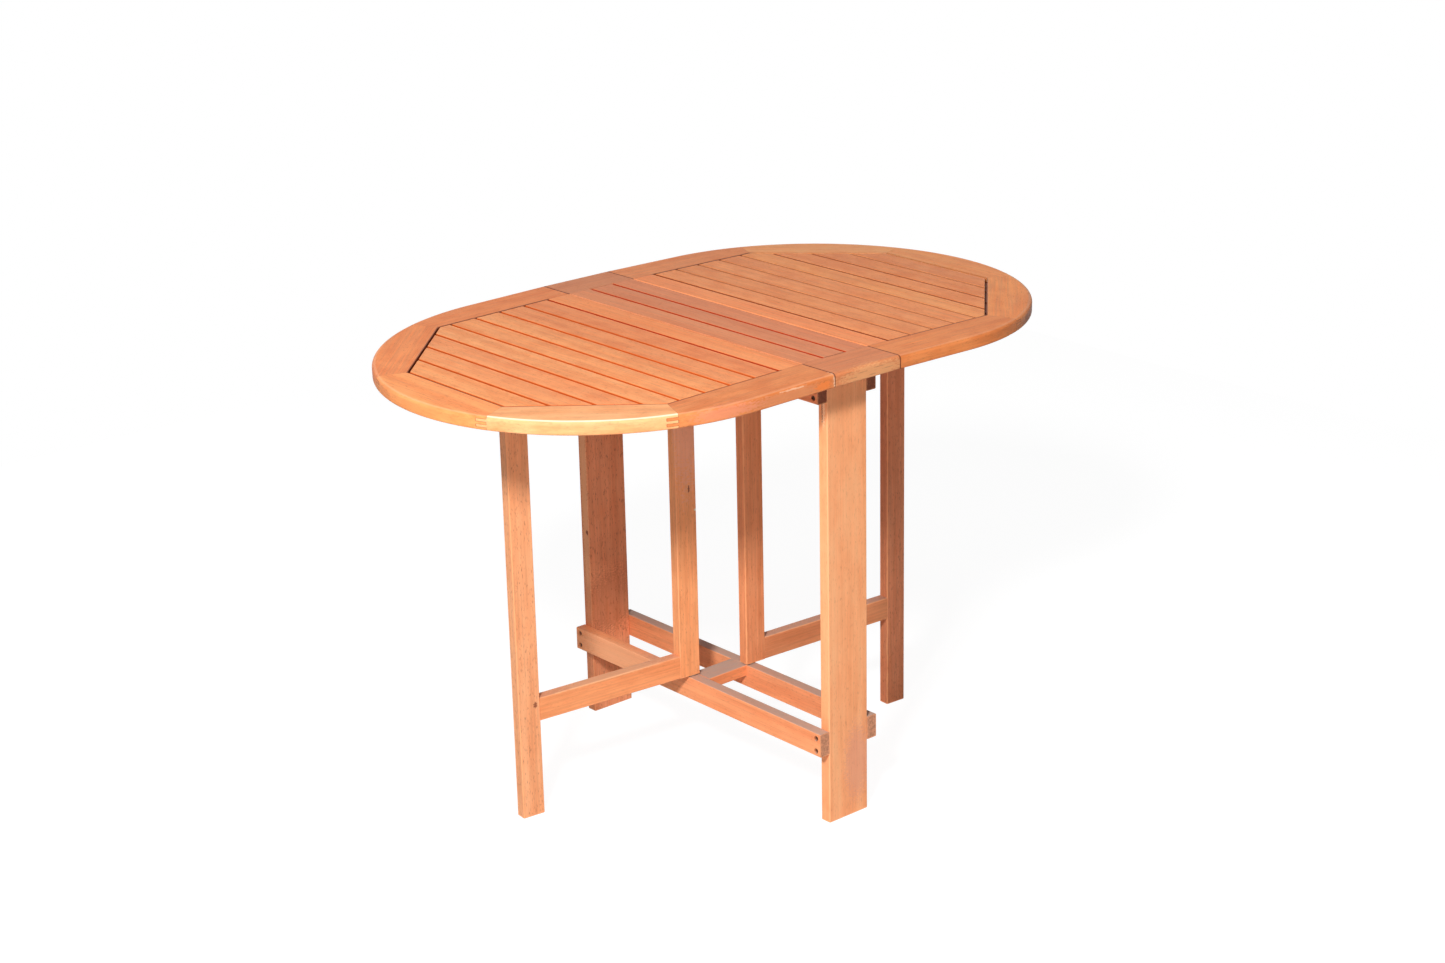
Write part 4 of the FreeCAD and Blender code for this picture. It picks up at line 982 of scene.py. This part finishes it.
# %% Make the slats of both leaves
def slat_numbers():
    """First edge, width and pitch of the slats, read from the frame's own slats at the hinge side."""
    unsagged = sagging(1).inverted()
    hinge = Vector((hinge_axis_place, 0, hinge_axis_height))
    edges = []
    for number in (1, 2):
        reach = [(unsagged @ (vertex.co - hinge)).x + hinge_axis_place
                 for vertex in nodes[f"right_leaf_slat_{number}"].data.vertices]
        edges.append((min(reach), max(reach)))
    return edges[0][0], edges[0][1] - edges[0][0], edges[1][0] - edges[0][0]


first_edge, slat_width, slat_pitch = slat_numbers()
slat_count = len([node for node in nodes if node.startswith("right_leaf_slat_")])
first_mm, width_mm, pitch_mm = [length / MM for length in (first_edge, slat_width, slat_pitch)]
print(f"{slat_count} slats {width_mm:.1f} mm wide, {pitch_mm:.1f} mm apart, from {first_mm:.1f} mm")
for side_name, side in SIDES.items():
    values = {"Count": slat_count, "First Edge": first_edge, "Width": slat_width, "Pitch": slat_pitch,
              "Underside": underside, "Thickness": top_thickness, "Opening Half": opening_half,
              "Corner Start": corner_start, "Corner Slope": corner_slope, "End Gap": 1.4 * MM,
              "Corner Gap": 3 * MM, "Tongue Length": 6.8 * MM, "Tongue Thickness": 6.9 * MM,
              "Tongue Inset": 1.4 * MM, "Material": slat_materials[side_name]}
    slats = made_by(slat_tree, f"{side_name}_leaf_slats", values, arris=1.2 * MM)
    if side < 0:
        slats.data.transform(Matrix.Rotation(math.pi, 4, "Z"))
    hinge = Vector((hinge_axis_place * side, 0, hinge_axis_height))
    slats.data.transform(Matrix.Translation(hinge) @ sagging(side).to_4x4() @ Matrix.Translation(-hinge))
    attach(slats, f"{side_name}_leaf")
    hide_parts(*[f"{side_name}_leaf_slat_{number + 1}" for number in range(slat_count)])
    print(slats.name, len(slats.data.polygons), "faces")

# %% [markdown]
# ## Screws
# Countersunk screws with a hexagon socket hold the rails to the legs, the top to the trestle and the hinge
# plates to the leaves. They are all the same shape in two sizes. The tree makes one screw, a turned cone
# and shank with the socket cut into the head, and sets it on points. Each point stores which way its head
# faces.

# %% Screw tree
screw_tree, given, result = new_group("countersunk_screws", {
    "Points": "Geometry", "Head Radius": 0.003, "Head Height": 0.002, "Shank Radius": 0.002, "Length": 0.04,
    "Socket Radius": 0.0015, "Socket Depth": 0.001, "Material": "Material",
}, {"Geometry": "Geometry"}, "GeometryNodeTree")


def raised(geometry, height):
    """A geometry moved up by a height."""
    inputs = {"Geometry": geometry, "Translation": point(geometry.tree, Z=height)}
    return made(geometry.tree, "GeometryNodeTransform", inputs)


def cylinder(vertices, radius, depth):
    """An upright cylinder round the middle."""
    inputs = {"Vertices": vertices, "Radius": radius, "Depth": depth}
    return made(screw_tree, "GeometryNodeMeshCylinder", inputs)


head_drop = given["Head Height"] * -1.0
head = raised(made(screw_tree, "GeometryNodeMeshCone", {
    "Vertices": 24, "Side Segments": 1, "Fill Segments": 1, "Radius Top": given["Head Radius"],
    "Radius Bottom": given["Shank Radius"], "Depth": given["Head Height"]}), head_drop)
hexagon = cylinder(6, given["Socket Radius"], given["Socket Depth"] * 2.0)
cut_head = made(screw_tree, "GeometryNodeMeshBoolean", {"Mesh 1": head, "Mesh 2": hexagon},
                operation="DIFFERENCE", solver="EXACT")
shank_length = given["Length"] - given["Head Height"]
shank = raised(cylinder(16, given["Shank Radius"], shank_length), head_drop - shank_length * 0.5)
facing = made(screw_tree, "GeometryNodeInputNamedAttribute", {"Name": "facing"}, data_type="FLOAT_VECTOR")
aim = made(screw_tree, "FunctionNodeAlignRotationToVector", {"Vector": facing}, axis="Z")
screws_placed = copied(given["Points"], joined(cut_head, shank), Rotation=aim)
connect(in_material(screws_placed, given["Material"]), result["Geometry"])
print(f"the screw tree has {len(screw_tree.nodes)} nodes")

# %% [markdown]
# ## Where the screws are
# The frame already has every screw at its place, as one node for each set. A copy of the node is merged
# and split into its separate screws. For each one, the end with the wider rim is the head, and the line
# from the point to the head says which way it faces.

# %% Screw places
def separate_lumps(node):
    """The vertex places of each separate solid of a node, in the order of its vertices."""
    shape = bmesh.new()
    shape.from_mesh(nodes[node].data)
    bmesh.ops.remove_doubles(shape, verts=shape.verts, dist=0.01 * MM)
    waiting = set(shape.verts)
    lumps = []
    for start in shape.verts:
        if start not in waiting:
            continue
        waiting.remove(start)
        reached = [start]
        lump = []
        while reached:
            vertex = reached.pop()
            lump.append(vertex.co.copy())
            for edge in vertex.link_edges:
                other = edge.other_vert(vertex)
                if other in waiting:
                    waiting.remove(other)
                    reached.append(other)
        lumps.append(lump)
    shape.free()
    return lumps


def screw_ends(lump):
    """Head centre, outward direction and length of one screw."""
    low, high = extent(lump)
    axis = max(range(3), key=(high - low).__getitem__)
    found = []
    for corner in (low, high):
        rim = [place for place in lump if abs(place[axis] - corner[axis]) < 0.15 * MM]
        centre = sum(rim, Vector()) / len(rim)
        found.append((max((place - centre).length for place in rim), centre))
    found.sort(key=lambda end: end[0])
    (_, tip), (_, head_centre) = found
    return head_centre, (head_centre - tip).normalized(), (head_centre - tip).length


def points_mesh(name, ends):
    """A mesh of loose vertices that stores the way each screw faces."""
    mesh = bpy.data.meshes.new(name)
    mesh.from_pydata([head_centre for head_centre, _, _ in ends], [], [])
    attribute = mesh.attributes.new("facing", "FLOAT_VECTOR", "POINT")
    for index, (_, outwards, _) in enumerate(ends):
        attribute.data[index].vector = outwards
    return mesh


screw_sets = {node: [screw_ends(lump) for lump in separate_lumps(node)]
              for node in ("frame_screws", "hinge_rail_screws", "left_leaf_screws", "right_leaf_screws")}
for node, ends in screw_sets.items():
    print(node, len(ends), "screws,", f"{ends[0][2] / MM:.1f} mm long")

# %% [markdown]
# ## Metal
# The screws are steel with a dark zinc finish, the hinges and pivot pins the same finish a little brighter.
# Both are metals, so their colour is their reflection. Fine noise in the roughness gives the slightly
# blotchy look of plating, and the same noise lays faint brown clouds over the colour.

# %% Metal materials
def plated_steel(name, colour, dull, blotch):
    """Dark plated steel; dull is its roughness and blotch how strongly the plating varies."""
    material, shader, place = new_surface(name, {"Metallic": 0.9})
    clouds = made(place.tree, "ShaderNodeTexNoise", {"Vector": place, "Scale": 900.0, "Detail": 3.0})
    base = mixed(ranged(clouds, 0.45, 0.7, 0.0, blotch), colour, tinted(colour, (0.75, 0.5, 0.38)))
    roughness = ranged(clouds, 0.3, 0.7, dull - 0.12, dull + 0.12)
    feed(shader, base, roughness, clouds, strength=0.15, depth=0.1 * MM)
    return material


screw_steel = plated_steel("screw_steel", (0.11, 0.085, 0.065, 1), dull=0.5, blotch=0.7)
hinge_steel = plated_steel("hinge_steel", (0.42, 0.40, 0.36, 1), dull=0.42, blotch=0.4)
for node in ("gate_pivot_pins", "hinge_rail_plates", "hinge_pins", "left_leaf_hinge_plates",
             "right_leaf_hinge_plates"):
    finish_piece(node, hinge_steel)
print("2 steels")

# %% Make the screws
SCREW_MEASURES = ["Head Radius", "Head Height", "Shank Radius", "Length", "Socket Radius", "Socket Depth"]
SCREW_SIZES_MM = {"long": [3.2, 1.9, 1.9, 45, 1.5, 1.4], "small": [3.0, 1.5, 1.5, 14, 1.1, 0.8]}


def make_screws(name, node, size_name, body):
    """Replaces one set of screws of the frame."""
    values = {measure: size * MM for measure, size in zip(SCREW_MEASURES, SCREW_SIZES_MM[size_name])}
    values["Material"] = screw_steel
    screws = made_by(screw_tree, name, values, start_mesh=points_mesh(f"{name}_points", screw_sets[node]))
    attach(screws, body)
    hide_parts(node)
    print(name, len(screws.data.polygons), "faces")


make_screws("rail_and_top_screws", "frame_screws", "long", "trestle")
make_screws("trestle_hinge_screws", "hinge_rail_screws", "small", "trestle")
make_screws("left_leaf_small_screws", "left_leaf_screws", "small", "left_leaf")
make_screws("right_leaf_small_screws", "right_leaf_screws", "small", "right_leaf")
